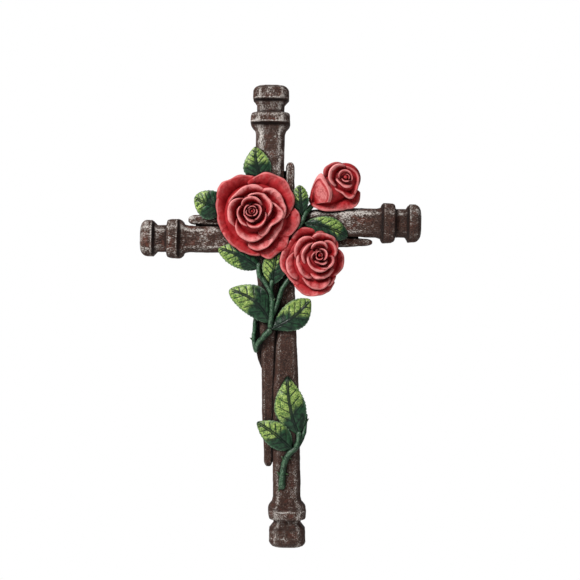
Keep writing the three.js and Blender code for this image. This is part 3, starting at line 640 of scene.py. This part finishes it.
def add_bud_side(foot, span, radii, foot_share, foot_out, out, power, wrap, lip, lip_from, lip_width,
                 fold, fold_at, fold_width):
    """The petal that wraps round the bud's left side."""
    start, end = span

    def at(u, v):
        left = 1 - u
        angle = np.radians(mix(start, end, left))
        radius = spline(radii, left) * mix(foot_share, 1, v)
        turned_down = lip * np.clip((v - lip_from) / lip_width, 0, 1) ** 2
        bulge = mix(foot_out, out, np.sin(np.pi / 2 * v) ** power) - turned_down
        folded = fold * np.exp(-(((v - fold_at) / fold_width) ** 2))
        drop = wrap * left**3 + TUCK_DROP * u**3
        z = bulge + folded - drop * v
        return np.stack([foot[0] + np.cos(angle) * radius, foot[1] + np.sin(angle) * radius, z], -1)

    def pale(u, v, depth):
        face = 0.66 * smooth(v, 0.05, 0.4) * (1 - 0.55 * smooth(v, 0.68, 0.75))
        face += 1.05 * smooth(v, 0.78, 0.85)
        left, right = 1 - 0.75 * smooth(1 - u, 0.6, 0.95), 1 - 0.4 * smooth(u, 0.8, 1)
        return face * in_front(depth) * left * right

    section = petal_section(BUD_SIDE_DEPTH)
    add_shell(at, BUD_SIDE_ACROSS, section, PETAL_THICKNESS, ROSE, {"pale": pale})


def add_bud(seed):
    add_bud_body()
    add_turned(BUD["cushion"], BUD["centre"], 0.1)
    add_heart(BUD)
    for k, petal in enumerate(BUD["petals"]):
        add_petal(BUD, petal, seed + k)
    add_bud_side(BUD["foot"], **BUD_SIDE)


def add_leaf(leaf, seed):
    base, tip = np.array(leaf["base"], float), np.array(leaf["tip"], float)
    length = float(np.linalg.norm(tip - base))
    side = np.array([tip[1] - base[1], base[0] - tip[0], 0])
    side /= np.linalg.norm(side)
    spacing = length / SIDE_VEINS

    def half_width(along, across):
        arc = np.sin(np.pi * np.clip(along, 0, 1) ** leaf["full"]).clip(0)
        tooth = 0.5 - np.mod(along * length / TOOTH_LENGTH, 1.0)
        half = mix(LEAF_END, leaf["width"] / 2, arc ** leaf["round"])
        return half + TOOTH_DEPTH * tooth * smooth(np.abs(across), 0.82, 1.0) * smooth(arc, 0.2, 0.5)

    def veins(along, across):
        """How deep a point lies in the midrib's grooves and in a side vein, and how high on the crest."""
        off = np.abs(across) * half_width(along, across)
        midrib = np.exp(-(((off - MIDRIB_AT) / MIDRIB_WIDTH) ** 2))
        midrib = midrib * smooth(along, 0.0, 0.08) * (1 - smooth(along, 0.9, 1.0))
        slanted = (along * length - off * VEIN_SLANT) / spacing
        phase = np.mod(slanted + VEIN_SHIFT * (across > 0), 1.0) - 0.5
        branch = np.exp(-((phase * spacing / VEIN_WIDTH) ** 2)) * smooth(np.abs(across), 0.05, 0.16)
        branch = branch * (1 - smooth(np.abs(across), 0.72, 0.9)) * smooth(along, 0.06, 0.16)
        crest = np.exp(-((off / CREST_WIDTH) ** 2)) * (1 - smooth(along, 0.85, 0.98))
        return midrib, branch, crest

    # u runs from the tip to the base, and v from one side to the other and back behind the leaf.
    def at(u, v):
        along, across = 1 - u, 2 * v - 1
        half = half_width(along, across)
        sideways = leaf["bend"] * np.sin(np.pi * along) + across * half
        point = base + (tip - base) * along[..., None] + side * sideways[..., None]
        midrib, branch, crest = veins(along, across)
        where = np.stack([along * length, across * half, np.full_like(along, 3.1 * seed)], -1)
        wave = LEAF_WAVE_HEIGHT * noise(where, LEAF_WAVE_SIZE, seed)
        arch = leaf["arch"] * np.sin(np.pi * along) - leaf["droop"] * across * across
        point[..., 2] += arch - MIDRIB_DEPTH * midrib - VEIN_DEPTH * branch + CREST_HEIGHT * crest + wave
        return point

    def vein(u, v, depth):
        midrib, branch, _ = veins(1 - u, 2 * v - 1)
        return np.clip(midrib + 0.9 * branch, 0, 1) * (depth < 0.1)

    def light(u, v, depth):
        along, across = 1 - u, 2 * v - 1
        where = np.stack([along * length, across * 9, np.full_like(along, seed * 5.0)], -1)
        ragged = noise(where, 3.0, seed + 40)
        start, stop = leaf["lit"]
        from_start = along + leaf["tilt"] * across + 0.08 * ragged
        lit = smooth(from_start, start - 0.08, start + 0.08)
        lit = lit * (1 - smooth(along + 0.05 * ragged, stop - 0.06, stop + 0.06))
        return lit * (1 - 0.6 * smooth(np.abs(across), 0.86, 0.97)) * (depth < 0.1)

    def edge(u, v, depth):
        return smooth(np.abs(2 * v - 1), 0.86, 0.97) * (depth < 0.35)

    steps = int(round(length / LEAF_GRID))
    count = int(round(leaf["width"] / LEAF_GRID))
    section = [(a, 0.0) for a in np.linspace(0, 1, count)] + LEAF_BACK
    add_shell(at, steps, section, LEAF_THICKNESS, LEAF, {"vein": vein, "light": light, "edge": edge})


def add_stem(half, path, seed):
    dense = spline(np.array(path, float), np.linspace(0, 1, 200))
    gaps = np.linalg.norm(np.diff(dense, axis=0), axis=1)
    travelled = np.concatenate([[0], np.cumsum(gaps)])
    length = travelled[-1]
    steps = max(4, int(round(length / STEM_STEP)))
    close_to_end = np.array([0.1, 0.3, 0.6]) / length
    s = np.unique(np.concatenate([np.linspace(0, 1, steps + 1), close_to_end, 1 - close_to_end]))
    centre = np.stack([np.interp(s * length, travelled, dense[:, k]) for k in range(3)], -1)
    tangent = np.gradient(centre, axis=0)
    tangent /= np.linalg.norm(tangent, axis=1, keepdims=True)
    side = np.stack([tangent[:, 1], -tangent[:, 0], np.zeros(len(s))], -1)
    side /= np.linalg.norm(side, axis=1, keepdims=True)
    front = np.cross(side, tangent)
    thick = mix(half[0], half[1], s)
    from_end = np.minimum(s, 1 - s) * length
    rounding = np.clip(from_end / thick, 0.06, 1)
    thick *= np.sqrt(rounding * (2 - rounding))
    angle = -2 * np.pi * np.arange(STEM_SIDES) / STEM_SIDES
    rings = rings_round(centre[:, None], side[:, None], front[:, None], thick[:, None], angle)
    bump = sum(noise(rings, size, seed + k) * height for k, (height, size) in enumerate(STEM_BUMPS))
    direction = rings - centre[:, None]
    direction /= np.linalg.norm(direction, axis=-1, keepdims=True)
    # A painted highlight along the side of the stem that faces out and to the left, painted with the leaves'
    # worn edges.
    lit_edge = smooth(direction[..., 2] - 0.4 * direction[..., 0], 0.8, 1.05)
    add_loft(rings + direction * bump[..., None], LEAF, {"edge": lit_edge})


def add_thorn(root, point):
    root, point = np.array(root, float), np.array(point, float)
    axis = point - root
    length = np.linalg.norm(axis)
    axis /= length
    a = np.cross(axis, [0.3, 0.5, 1.0])
    a /= np.linalg.norm(a)
    b = np.cross(axis, a)
    angle = 2 * np.pi * np.arange(THORN_SIDES) / THORN_SIDES
    s = np.linspace(0, 1, THORN_RINGS)
    radius = THORN_HALF * (1 - s) ** 0.8 + THORN_POINT
    spokes = a * np.cos(angle)[:, None] + b * np.sin(angle)[:, None]
    rings = root + axis * (s * length)[:, None, None] + spokes * radius[:, None, None]
    add_loft(rings, LEAF, {"light": 0.15})


for k, nail in enumerate(NAILS):
    add_nail(nail, 11 + 10 * k)
for left, right, low, high in WEBS:
    add_block([(left, low), (right, low), (right, high), (left, high)], WEB_OUT)
add_block(FILLET, FILLET_OUT)
add_rose(LARGE_ROSE, 100)
add_rose(SECOND_ROSE, 200)
add_bud(300)
for k, leaf in enumerate(LEAVES):
    add_leaf(leaf, 400 + k)
for k, (half, path) in enumerate(STEMS):
    add_stem(half, path, 500 + 3 * k)
for root, point in THORNS:
    add_thorn(root, point)

PAINTS = ("pale", "relief", "silver", "corner", "hollow_shade", "lying", "light", "vein", "edge")


def form_object(form, name):
    points = form["points"] * MM
    points = np.stack([points[:, 0], -points[:, 2], points[:, 1]], -1)
    mesh = bpy.data.meshes.new(name)
    faces = [tuple(f) for f in form["quads"].tolist()] + [tuple(f) for f in form["fans"].tolist()]
    mesh.from_pydata(points.tolist(), [], faces)
    for material in MATERIALS:
        mesh.materials.append(material)
    mesh.polygons.foreach_set("material_index", np.full(len(faces), form["kind"], np.int32))
    for paint in PAINTS:
        attribute = mesh.attributes.new(paint, "FLOAT", "POINT")
        values = form["paint"].get(paint)
        if values is not None:
            attribute.data.foreach_set("value", values.astype(np.float32))
    return bpy.data.objects.new(name, mesh)


# Paint


def linear(colour):
    return [((c / 255 + 0.055) / 1.055) ** 2.4 if c > 10 else c / 255 / 12.92 for c in colour] + [1.0]


class Nodes:
    """A short way to write a material's nodes."""

    def __init__(self, name):
        self.material = bpy.data.materials.new(name)
        self.material.use_nodes = True
        self.tree = self.material.node_tree
        self.tree.nodes.clear()
        self.shader = self.new("BsdfPrincipled")
        self.new("OutputMaterial", Surface=self.shader.outputs[0])
        scaled = self.new("VectorMath")
        scaled.operation = "SCALE"
        scaled.inputs["Scale"].default_value = 1 / MM
        self.put(self.new("TexCoord").outputs["Object"], scaled.inputs[0])
        self.mm = scaled.outputs[0]

    def new(self, kind, **values):
        node = self.tree.nodes.new("ShaderNode" + kind)
        for name, value in values.items():
            self.put(value, node.inputs[name])
        return node

    def put(self, value, socket):
        if isinstance(value, bpy.types.NodeSocket):
            self.tree.links.new(value, socket)
        else:
            socket.default_value = value

    def paint(self, name):
        node = self.new("Attribute")
        node.attribute_name = name
        return node.outputs["Fac"]

    def noise(self, size, detail=3.0, rough=0.55, distortion=0.0, squash=None):
        """Noise whose bumps are about size millimetres apart. squash shrinks the room it is made in."""
        vector = self.mm
        if squash:
            scale = self.new("VectorMath")
            scale.operation = "MULTIPLY"
            self.put(vector, scale.inputs[0])
            self.put(squash, scale.inputs[1])
            vector = scale.outputs[0]
        node = self.new(
            "TexNoise", Vector=vector, Scale=1 / size, Detail=detail, Roughness=rough, Distortion=distortion,
        )
        return node.outputs["Fac"]

    def math(self, operation, a, b):
        node = self.new("Math")
        node.operation = operation
        self.put(a, node.inputs[0])
        self.put(b, node.inputs[1])
        return node.outputs[0]

    def times(self, a, b):
        return self.math("MULTIPLY", a, b)

    def ramp(self, value, low, high, to_low=0.0, to_high=1.0):
        """A smooth step of the value, from to_low at low to to_high at high."""
        limits = {"From Min": low, "From Max": high, "To Min": to_low, "To Max": to_high}
        node = self.new("MapRange", Value=value, **limits)
        node.interpolation_type = "SMOOTHSTEP"
        return node.outputs[0]

    def blend(self, share, a, b):
        """The colour a where share is 0 and b where it is 1."""
        node = self.new("Mix")
        node.data_type = "RGBA"
        self.put(share, node.inputs[0])
        self.put(linear(a) if isinstance(a, tuple) else a, node.inputs[6])
        self.put(linear(b) if isinstance(b, tuple) else b, node.inputs[7])
        return node.outputs[2]

    def either(self, share, a, b):
        """The value a where share is 0 and b where it is 1."""
        node = self.new("Mix")
        node.data_type = "FLOAT"
        self.put(share, node.inputs[0])
        self.put(a, node.inputs[2])
        self.put(b, node.inputs[3])
        return node.outputs[0]

    def bump(self, height, distance, strength):
        return self.new("Bump", Height=height, Distance=distance * MM, Strength=strength).outputs[0]

    def finish(self, colour, roughness, gloss, normal):
        self.put(colour, self.shader.inputs["Base Color"])
        self.put(roughness, self.shader.inputs["Roughness"])
        self.put(gloss, self.shader.inputs["Specular IOR Level"])
        self.put(normal, self.shader.inputs["Normal"])
        return self.material


def iron_paint():
    """Dark brown iron with rust, silver dragged over its raised grain, a dark wash with painted shade in its
    crevices, and painted shade in its hollows.
    """
    dark_brown, light_brown, rust_red = (36, 20, 15), (96, 63, 50), (120, 62, 46)
    grey_film, bright_silver = (112, 95, 86), (226, 219, 212)
    # The last two colours are a dark wash with painted shade in the crevices, and painted shade in the
    # hollows below the cap and the collar.
    between_grain, crevice_wash_and_shade, hollow_shade_colour = (20, 12, 10), (14, 8, 7), (18, 11, 9)
    n = Nodes("aged_iron_paint")
    opened, relief, amount, corner = n.paint("open"), n.paint("relief"), n.paint("silver"), n.paint("corner")
    lying, hollow_shade = n.paint("lying"), n.paint("hollow_shade")
    standing_grain = n.noise(0.55, 3.5, 0.64, 0.5, (1.0, 1.0, 0.7))
    lying_grain = n.noise(0.5, 3.5, 0.66, 0.45, (0.36, 1.0, 1.0))
    grain = n.either(lying, standing_grain, lying_grain)
    fine = n.noise(0.4, 2.0, 0.65)
    patches = n.noise(7.0, 3.0, 0.55)
    rust_patches = n.noise(5.0, 3.0, 0.6, 0.3)
    colour = n.blend(n.ramp(fine, 0.4, 0.6), dark_brown, light_brown)
    rust = n.times(n.ramp(rust_patches, 0.5, 0.66), n.ramp(amount, 0.1, 0.6, 0.12, 0.7))
    colour = n.blend(rust, colour, rust_red)
    # Silver lies thickest near the heads and along the corners: a grey film over most of a patch, and bright
    # only on the highest specks.
    height = n.math("ADD", n.times(grain, 0.85), n.times(relief, 0.15))
    share = n.times(amount, n.ramp(patches, 0.38, 0.6, 0.45, 1.25))
    share = n.math("ADD", share, n.times(corner, n.ramp(amount, 0.05, 0.6, 0.3, 0.9)))
    over = n.math("SUBTRACT", height, n.math("SUBTRACT", 0.602, n.times(share, 0.1)))
    # Silver is left out where the painted shade lies.
    bare = n.times(n.ramp(opened, 0.5, 0.85), n.math("SUBTRACT", 1.0, hollow_shade))
    film = n.times(n.times(n.ramp(over, -0.14, 0.04), bare), n.ramp(share, 0.0, 0.8, 0.04, 0.8))
    silver = n.times(n.times(n.ramp(over, 0.0, 0.05), bare), n.ramp(share, 0.0, 0.8, 0.3, 1.0))
    colour = n.blend(film, colour, grey_film)
    colour = n.blend(silver, colour, bright_silver)
    colour = n.blend(n.ramp(height, 0.36, 0.46, 0.9, 0.0), colour, between_grain)
    # A dark wash and painted shade in the crevices that the short rays find.
    colour = n.blend(n.ramp(opened, 0.42, 0.9, 0.95, 0.0), colour, crevice_wash_and_shade)
    # Painted shade in the hollows below the cap and the collar.
    colour = n.blend(n.times(hollow_shade, 0.85), colour, hollow_shade_colour)
    roughness = n.ramp(silver, 0, 1, 0.5, 0.3)
    return n.finish(colour, roughness, 0.3, n.bump(n.math("ADD", grain, fine), 0.75, 1.0))


def rose_paint():
    """Red petals, pale on their faces and crests, with a dark wash and painted shade in the crevices between
    them.
    """
    deep_red, mid_red, pale_pink, crevice_wash_and_shade = (148, 19, 25), (180, 42, 47), (242, 154, 152), (92, 3, 8)
    n = Nodes("rose_paint")
    opened, ridge, pale = n.paint("open"), n.paint("ridge"), n.paint("pale")
    streak = n.noise(1.6, 3.0, 0.6, 0.4)
    cloud = n.noise(5.0, 2.0, 0.5)
    fine = n.noise(0.6, 2.0, 0.6)
    colour = n.blend(n.ramp(cloud, 0.35, 0.65), deep_red, mid_red)
    height = n.times(pale, n.ramp(streak, 0.3, 0.62, 0.55, 1.0))
    height = n.times(height, n.ramp(opened, 0.5, 0.95))
    crest = n.times(n.ramp(ridge, 0.08, 0.6), n.ramp(pale, 0.0, 0.9, 0.3, 0.72))
    height = n.ramp(n.math("MAXIMUM", n.times(height, 0.8), crest), 0.06, 0.86)
    colour = n.blend(height, colour, pale_pink)
    # A dark wash and painted shade in the crevices that the short rays find.
    colour = n.blend(n.ramp(opened, 0.3, 0.86, 0.98, 0.0), colour, crevice_wash_and_shade)
    roughness = n.ramp(fine, 0.2, 0.8, 0.42, 0.58)
    return n.finish(colour, roughness, 0.18, n.bump(n.math("ADD", streak, fine), 0.14, 0.7))


def leaf_paint():
    """Dark green leaves and stems, with yellow-green paint over part of each leaf, worn pale edges, a
    painted highlight along the stems, and a dark wash with painted shade in the crevices.
    """
    shade_green, mid_green = (8, 31, 19), (36, 74, 47)
    lime, light_lime, lime_speck = (116, 146, 66), (178, 200, 110), (54, 88, 46)
    worn_edge_and_highlight, in_vein, crevice_wash_and_shade = (136, 168, 138), (10, 30, 20), (4, 11, 7)
    n = Nodes("leaf_paint")
    opened, ridge = n.paint("open"), n.paint("ridge")
    light, vein, edge = n.paint("light"), n.paint("vein"), n.paint("edge")
    cloud = n.noise(2.6, 3.0, 0.6)
    fine = n.noise(0.8, 3.0, 0.65)
    speck = n.ramp(fine, 0.4, 0.52)
    dark = n.blend(n.ramp(cloud, 0.35, 0.65), shade_green, mid_green)
    bright = n.blend(n.ramp(cloud, 0.35, 0.65), lime, light_lime)
    bright = n.blend(speck, lime_speck, bright)
    colour = n.blend(light, dark, bright)
    # Worn pale edges and crests on the leaves, and the painted highlight along the stems.
    raised = n.math("MAXIMUM", n.times(edge, 0.42), n.ramp(ridge, 0.35, 0.85, 0.0, 0.65))
    colour = n.blend(n.times(raised, n.ramp(fine, 0.4, 0.6)), colour, worn_edge_and_highlight)
    colour = n.blend(n.times(n.ramp(vein, 0.15, 0.5), 0.94), colour, in_vein)
    # A dark wash and painted shade in the crevices that the short rays find.
    colour = n.blend(n.ramp(opened, 0.34, 0.93, 0.96, 0.0), colour, crevice_wash_and_shade)
    roughness = n.ramp(fine, 0.2, 0.8, 0.28, 0.42)
    return n.finish(colour, roughness, 0.32, n.bump(n.math("ADD", cloud, fine), 0.25, 0.8))


MATERIALS = [iron_paint(), rose_paint(), leaf_paint()]

# All the forms joined into one skin, cut flat at the back.
CUTTER = [(-0.2, 0.2), (0.0, 0.1), (-0.3, 0.2)]  # the room behind the wall, as (low, high) along x, y and z
BOX_FACES = [(0, 1, 3, 2), (4, 6, 7, 5), (0, 4, 5, 1), (2, 3, 7, 6), (0, 2, 6, 4), (1, 5, 7, 3)]


def linked(name, data):
    made = bpy.data.objects.new(name, data)
    bpy.context.scene.collection.objects.link(made)
    return made


def joined_skin():
    parts = bpy.data.collections.new("forms")
    bpy.context.scene.collection.children.link(parts)
    objects = [form_object(form, "form_%03d" % k) for k, form in enumerate(FORMS)]
    casting = objects[0]
    bpy.context.scene.collection.objects.link(casting)
    for made in objects[1:]:
        parts.objects.link(made)
    union = casting.modifiers.new("union", "BOOLEAN")
    union.operation = "UNION"
    union.operand_type = "COLLECTION"
    union.collection = parts
    union.solver = "MANIFOLD"
    box = bpy.data.meshes.new("behind_wall")
    box.from_pydata([(x, y, z) for x in CUTTER[0] for y in CUTTER[1] for z in CUTTER[2]], [], BOX_FACES)
    cutter = linked("behind_wall", box)
    cut = casting.modifiers.new("cut", "BOOLEAN")
    cut.operation = "DIFFERENCE"
    cut.object = cutter
    cut.solver = "MANIFOLD"
    graph = bpy.context.evaluated_depsgraph_get()
    joined = casting.evaluated_get(graph)
    skin = bpy.data.meshes.new_from_object(joined, preserve_all_data_layers=True, depsgraph=graph)
    for made in objects + [cutter]:
        bpy.data.objects.remove(made)
    bpy.data.collections.remove(parts)
    return skin


def arrays(mesh):
    points = np.empty(len(mesh.vertices) * 3)
    mesh.vertices.foreach_get("co", points)
    mesh.calc_loop_triangles()
    triangles = np.empty(len(mesh.loop_triangles) * 3, np.int32)
    mesh.loop_triangles.foreach_get("vertices", triangles)
    normals = np.empty(len(mesh.vertices) * 3)
    mesh.vertices.foreach_get("normal", normals)
    return points.reshape(-1, 3), triangles.reshape(-1, 3), normals.reshape(-1, 3)


# Short rays from just above the skin find its crevices, which get a dark wash and painted shade.
# The results are evened out before they are painted.
REACH, RAYS, LIFT = 7 * MM, 14, 0.05
REACH_POWER, STOPPED_SHARE = 1.5, 0.8
EVEN_ROUNDS, RIDGE_GAIN, SHARP_DEGREES = 2, 4.0, 48


def openness(points, triangles, normals):
    """Share of short rays from each point that leave it freely: low in crevices, high on crests."""
    tree = BVHTree.FromPolygons(points.tolist(), triangles.tolist())
    k = np.arange(RAYS) + 0.5
    lift = np.sqrt(1 - k / RAYS)
    turn = np.pi * (1 + 5**0.5) * k
    level = np.sqrt(1 - lift**2)
    local = np.stack([level * np.cos(turn), level * np.sin(turn), lift], -1)
    helper = np.where(np.abs(normals[:, 1:2]) < 0.9, [[0.0, 1.0, 0.0]], [[1.0, 0.0, 0.0]])
    a = np.cross(helper, normals)
    a /= np.linalg.norm(a, axis=1, keepdims=True) + 1e-12
    b = np.cross(normals, a)
    starts = [Vector(p) for p in points + normals * LIFT * MM]
    free = np.zeros(len(points))
    for x, y, z in local:
        directions = a * x + b * y + normals * z
        for i, direction in enumerate(directions.tolist()):
            distance = tree.ray_cast(starts[i], direction, REACH)[3]
            stopped = distance is not None
            free[i] += min(1.0, distance / REACH) ** REACH_POWER * STOPPED_SHARE if stopped else 1.0
    return free / RAYS


def edge_list(triangles):
    edges = np.concatenate([triangles[:, [0, 1]], triangles[:, [1, 2]], triangles[:, [2, 0]]])
    return np.unique(np.sort(edges, axis=1), axis=0)


def spread(values, edges, rounds):
    """Values evened out along the mesh's edges."""
    count = np.bincount(edges.ravel(), minlength=len(values)).clip(1)
    for _ in range(rounds):
        total = np.bincount(edges[:, 0], values[edges[:, 1]], len(values))
        total += np.bincount(edges[:, 1], values[edges[:, 0]], len(values))
        values = 0.5 * values + 0.5 * total / count
    return values


def ridges_of(points, normals, edges):
    """How sharply the skin bends outwards at each point."""
    reach = points[edges[:, 1]] - points[edges[:, 0]]
    reach /= np.linalg.norm(reach, axis=1, keepdims=True) + 1e-12
    bend = np.bincount(edges[:, 0], -(reach * normals[edges[:, 0]]).sum(1), len(points))
    bend += np.bincount(edges[:, 1], (reach * normals[edges[:, 1]]).sum(1), len(points))
    bend /= np.bincount(edges.ravel(), minlength=len(points)).clip(1)
    return np.clip(spread(bend, edges, EVEN_ROUNDS) * RIDGE_GAIN, 0, 1)


skin = joined_skin()
cross = linked("cross_casting", skin)
points, triangles, normals = arrays(skin)
edges = edge_list(triangles)
opened = spread(openness(points, triangles, normals), edges, EVEN_ROUNDS)
ridge = ridges_of(points, normals, edges)
for name, values in (("open", opened), ("ridge", ridge)):
    skin.attributes.new(name, "FLOAT", "POINT").data.foreach_set("value", values.astype(np.float32))
skin.polygons.foreach_set("use_smooth", np.ones(len(skin.polygons), bool))
skin.set_sharp_from_angle(angle=math.radians(SHARP_DEGREES))
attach(cross, "root")
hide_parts("wall_cross")

# Stage: a plain pale floor under the cross, a white world and soft light. Places are in metres.
FLOOR_CORNERS = [(-0.9, -0.6, -0.3), (0.9, -0.6, -0.3), (0.9, 0.24, -0.3), (-0.9, 0.24, -0.3)]
FLOOR_COLOUR, FLOOR_ROUGHNESS = (238, 238, 236), 0.8
WHITE = (1, 1, 1, 1)
SEEN_STRENGTH, LIGHT_STRENGTH = 1.0, 0.22
LIGHT_TARGET = (0, 0, -0.04)
KEY_LIGHT = dict(place=(-0.75, -0.85, 0.8), size=0.4, power=21)
FILL_LIGHT = dict(place=(0.2, -1.1, -0.5), size=0.7, power=1.6)


def make_floor():
    mesh = bpy.data.meshes.new("floor")
    mesh.from_pydata(FLOOR_CORNERS, [], [(0, 1, 2, 3)])
    paint = bpy.data.materials.new("floor_paint")
    paint.use_nodes = True
    shader = paint.node_tree.nodes["Principled BSDF"]
    shader.inputs["Base Color"].default_value = linear(FLOOR_COLOUR)
    shader.inputs["Roughness"].default_value = FLOOR_ROUGHNESS
    mesh.materials.append(paint)
    return linked("floor", mesh)


def light_world():
    """A white background that gives the object less light than the camera sees."""
    world = bpy.data.worlds.new("studio")
    bpy.context.scene.world = world
    world.use_nodes = True
    tree = world.node_tree
    tree.nodes.clear()
    backgrounds = []
    for strength in (LIGHT_STRENGTH, SEEN_STRENGTH):
        background = tree.nodes.new("ShaderNodeBackground")
        background.inputs["Color"].default_value = WHITE
        background.inputs["Strength"].default_value = strength
        backgrounds.append(background)
    path = tree.nodes.new("ShaderNodeLightPath")
    both = tree.nodes.new("ShaderNodeMixShader")
    world_out = tree.nodes.new("ShaderNodeOutputWorld")
    tree.links.new(path.outputs["Is Camera Ray"], both.inputs[0])
    tree.links.new(backgrounds[0].outputs[0], both.inputs[1])
    tree.links.new(backgrounds[1].outputs[0], both.inputs[2])
    tree.links.new(both.outputs[0], world_out.inputs[0])


def area_light(name, place, size, power):
    data = bpy.data.lights.new(name, "AREA")
    data.shape = "DISK"
    data.size = size
    data.energy = power
    made = linked(name, data)
    made.location = place
    made.rotation_euler = (Vector(LIGHT_TARGET) - Vector(place)).to_track_quat("-Z", "Y").to_euler()


floor = make_floor()
light_world()
area_light("key", **KEY_LIGHT)
area_light("fill", **FILL_LIGHT)

# Camera: in front of the wall, rolled as little as the photo is.
CAMERA_PLACE = (0.00762, -0.875, -0.03969)
CAMERA_ROLL = math.radians(0.7)
CAMERA_LENS, CAMERA_SENSOR = 80.69, 36
camera_data = bpy.data.cameras.new("camera")
camera_data.sensor_width = CAMERA_SENSOR
camera_data.lens = CAMERA_LENS
camera_data.clip_start = 0.05
camera_data.clip_end = 20
camera = linked("camera", camera_data)
right = Vector((math.cos(CAMERA_ROLL), 0, math.sin(CAMERA_ROLL)))
up = Vector((-math.sin(CAMERA_ROLL), 0, math.cos(CAMERA_ROLL)))
back = Vector((0, -1, 0))
turned = Matrix((right, up, back)).transposed().to_4x4()
camera.matrix_world = Matrix.Translation(CAMERA_PLACE) @ turned
bpy.context.scene.camera = camera
bpy.context.scene.view_settings.view_transform = "Standard"
bpy.context.scene.view_settings.look = "None"
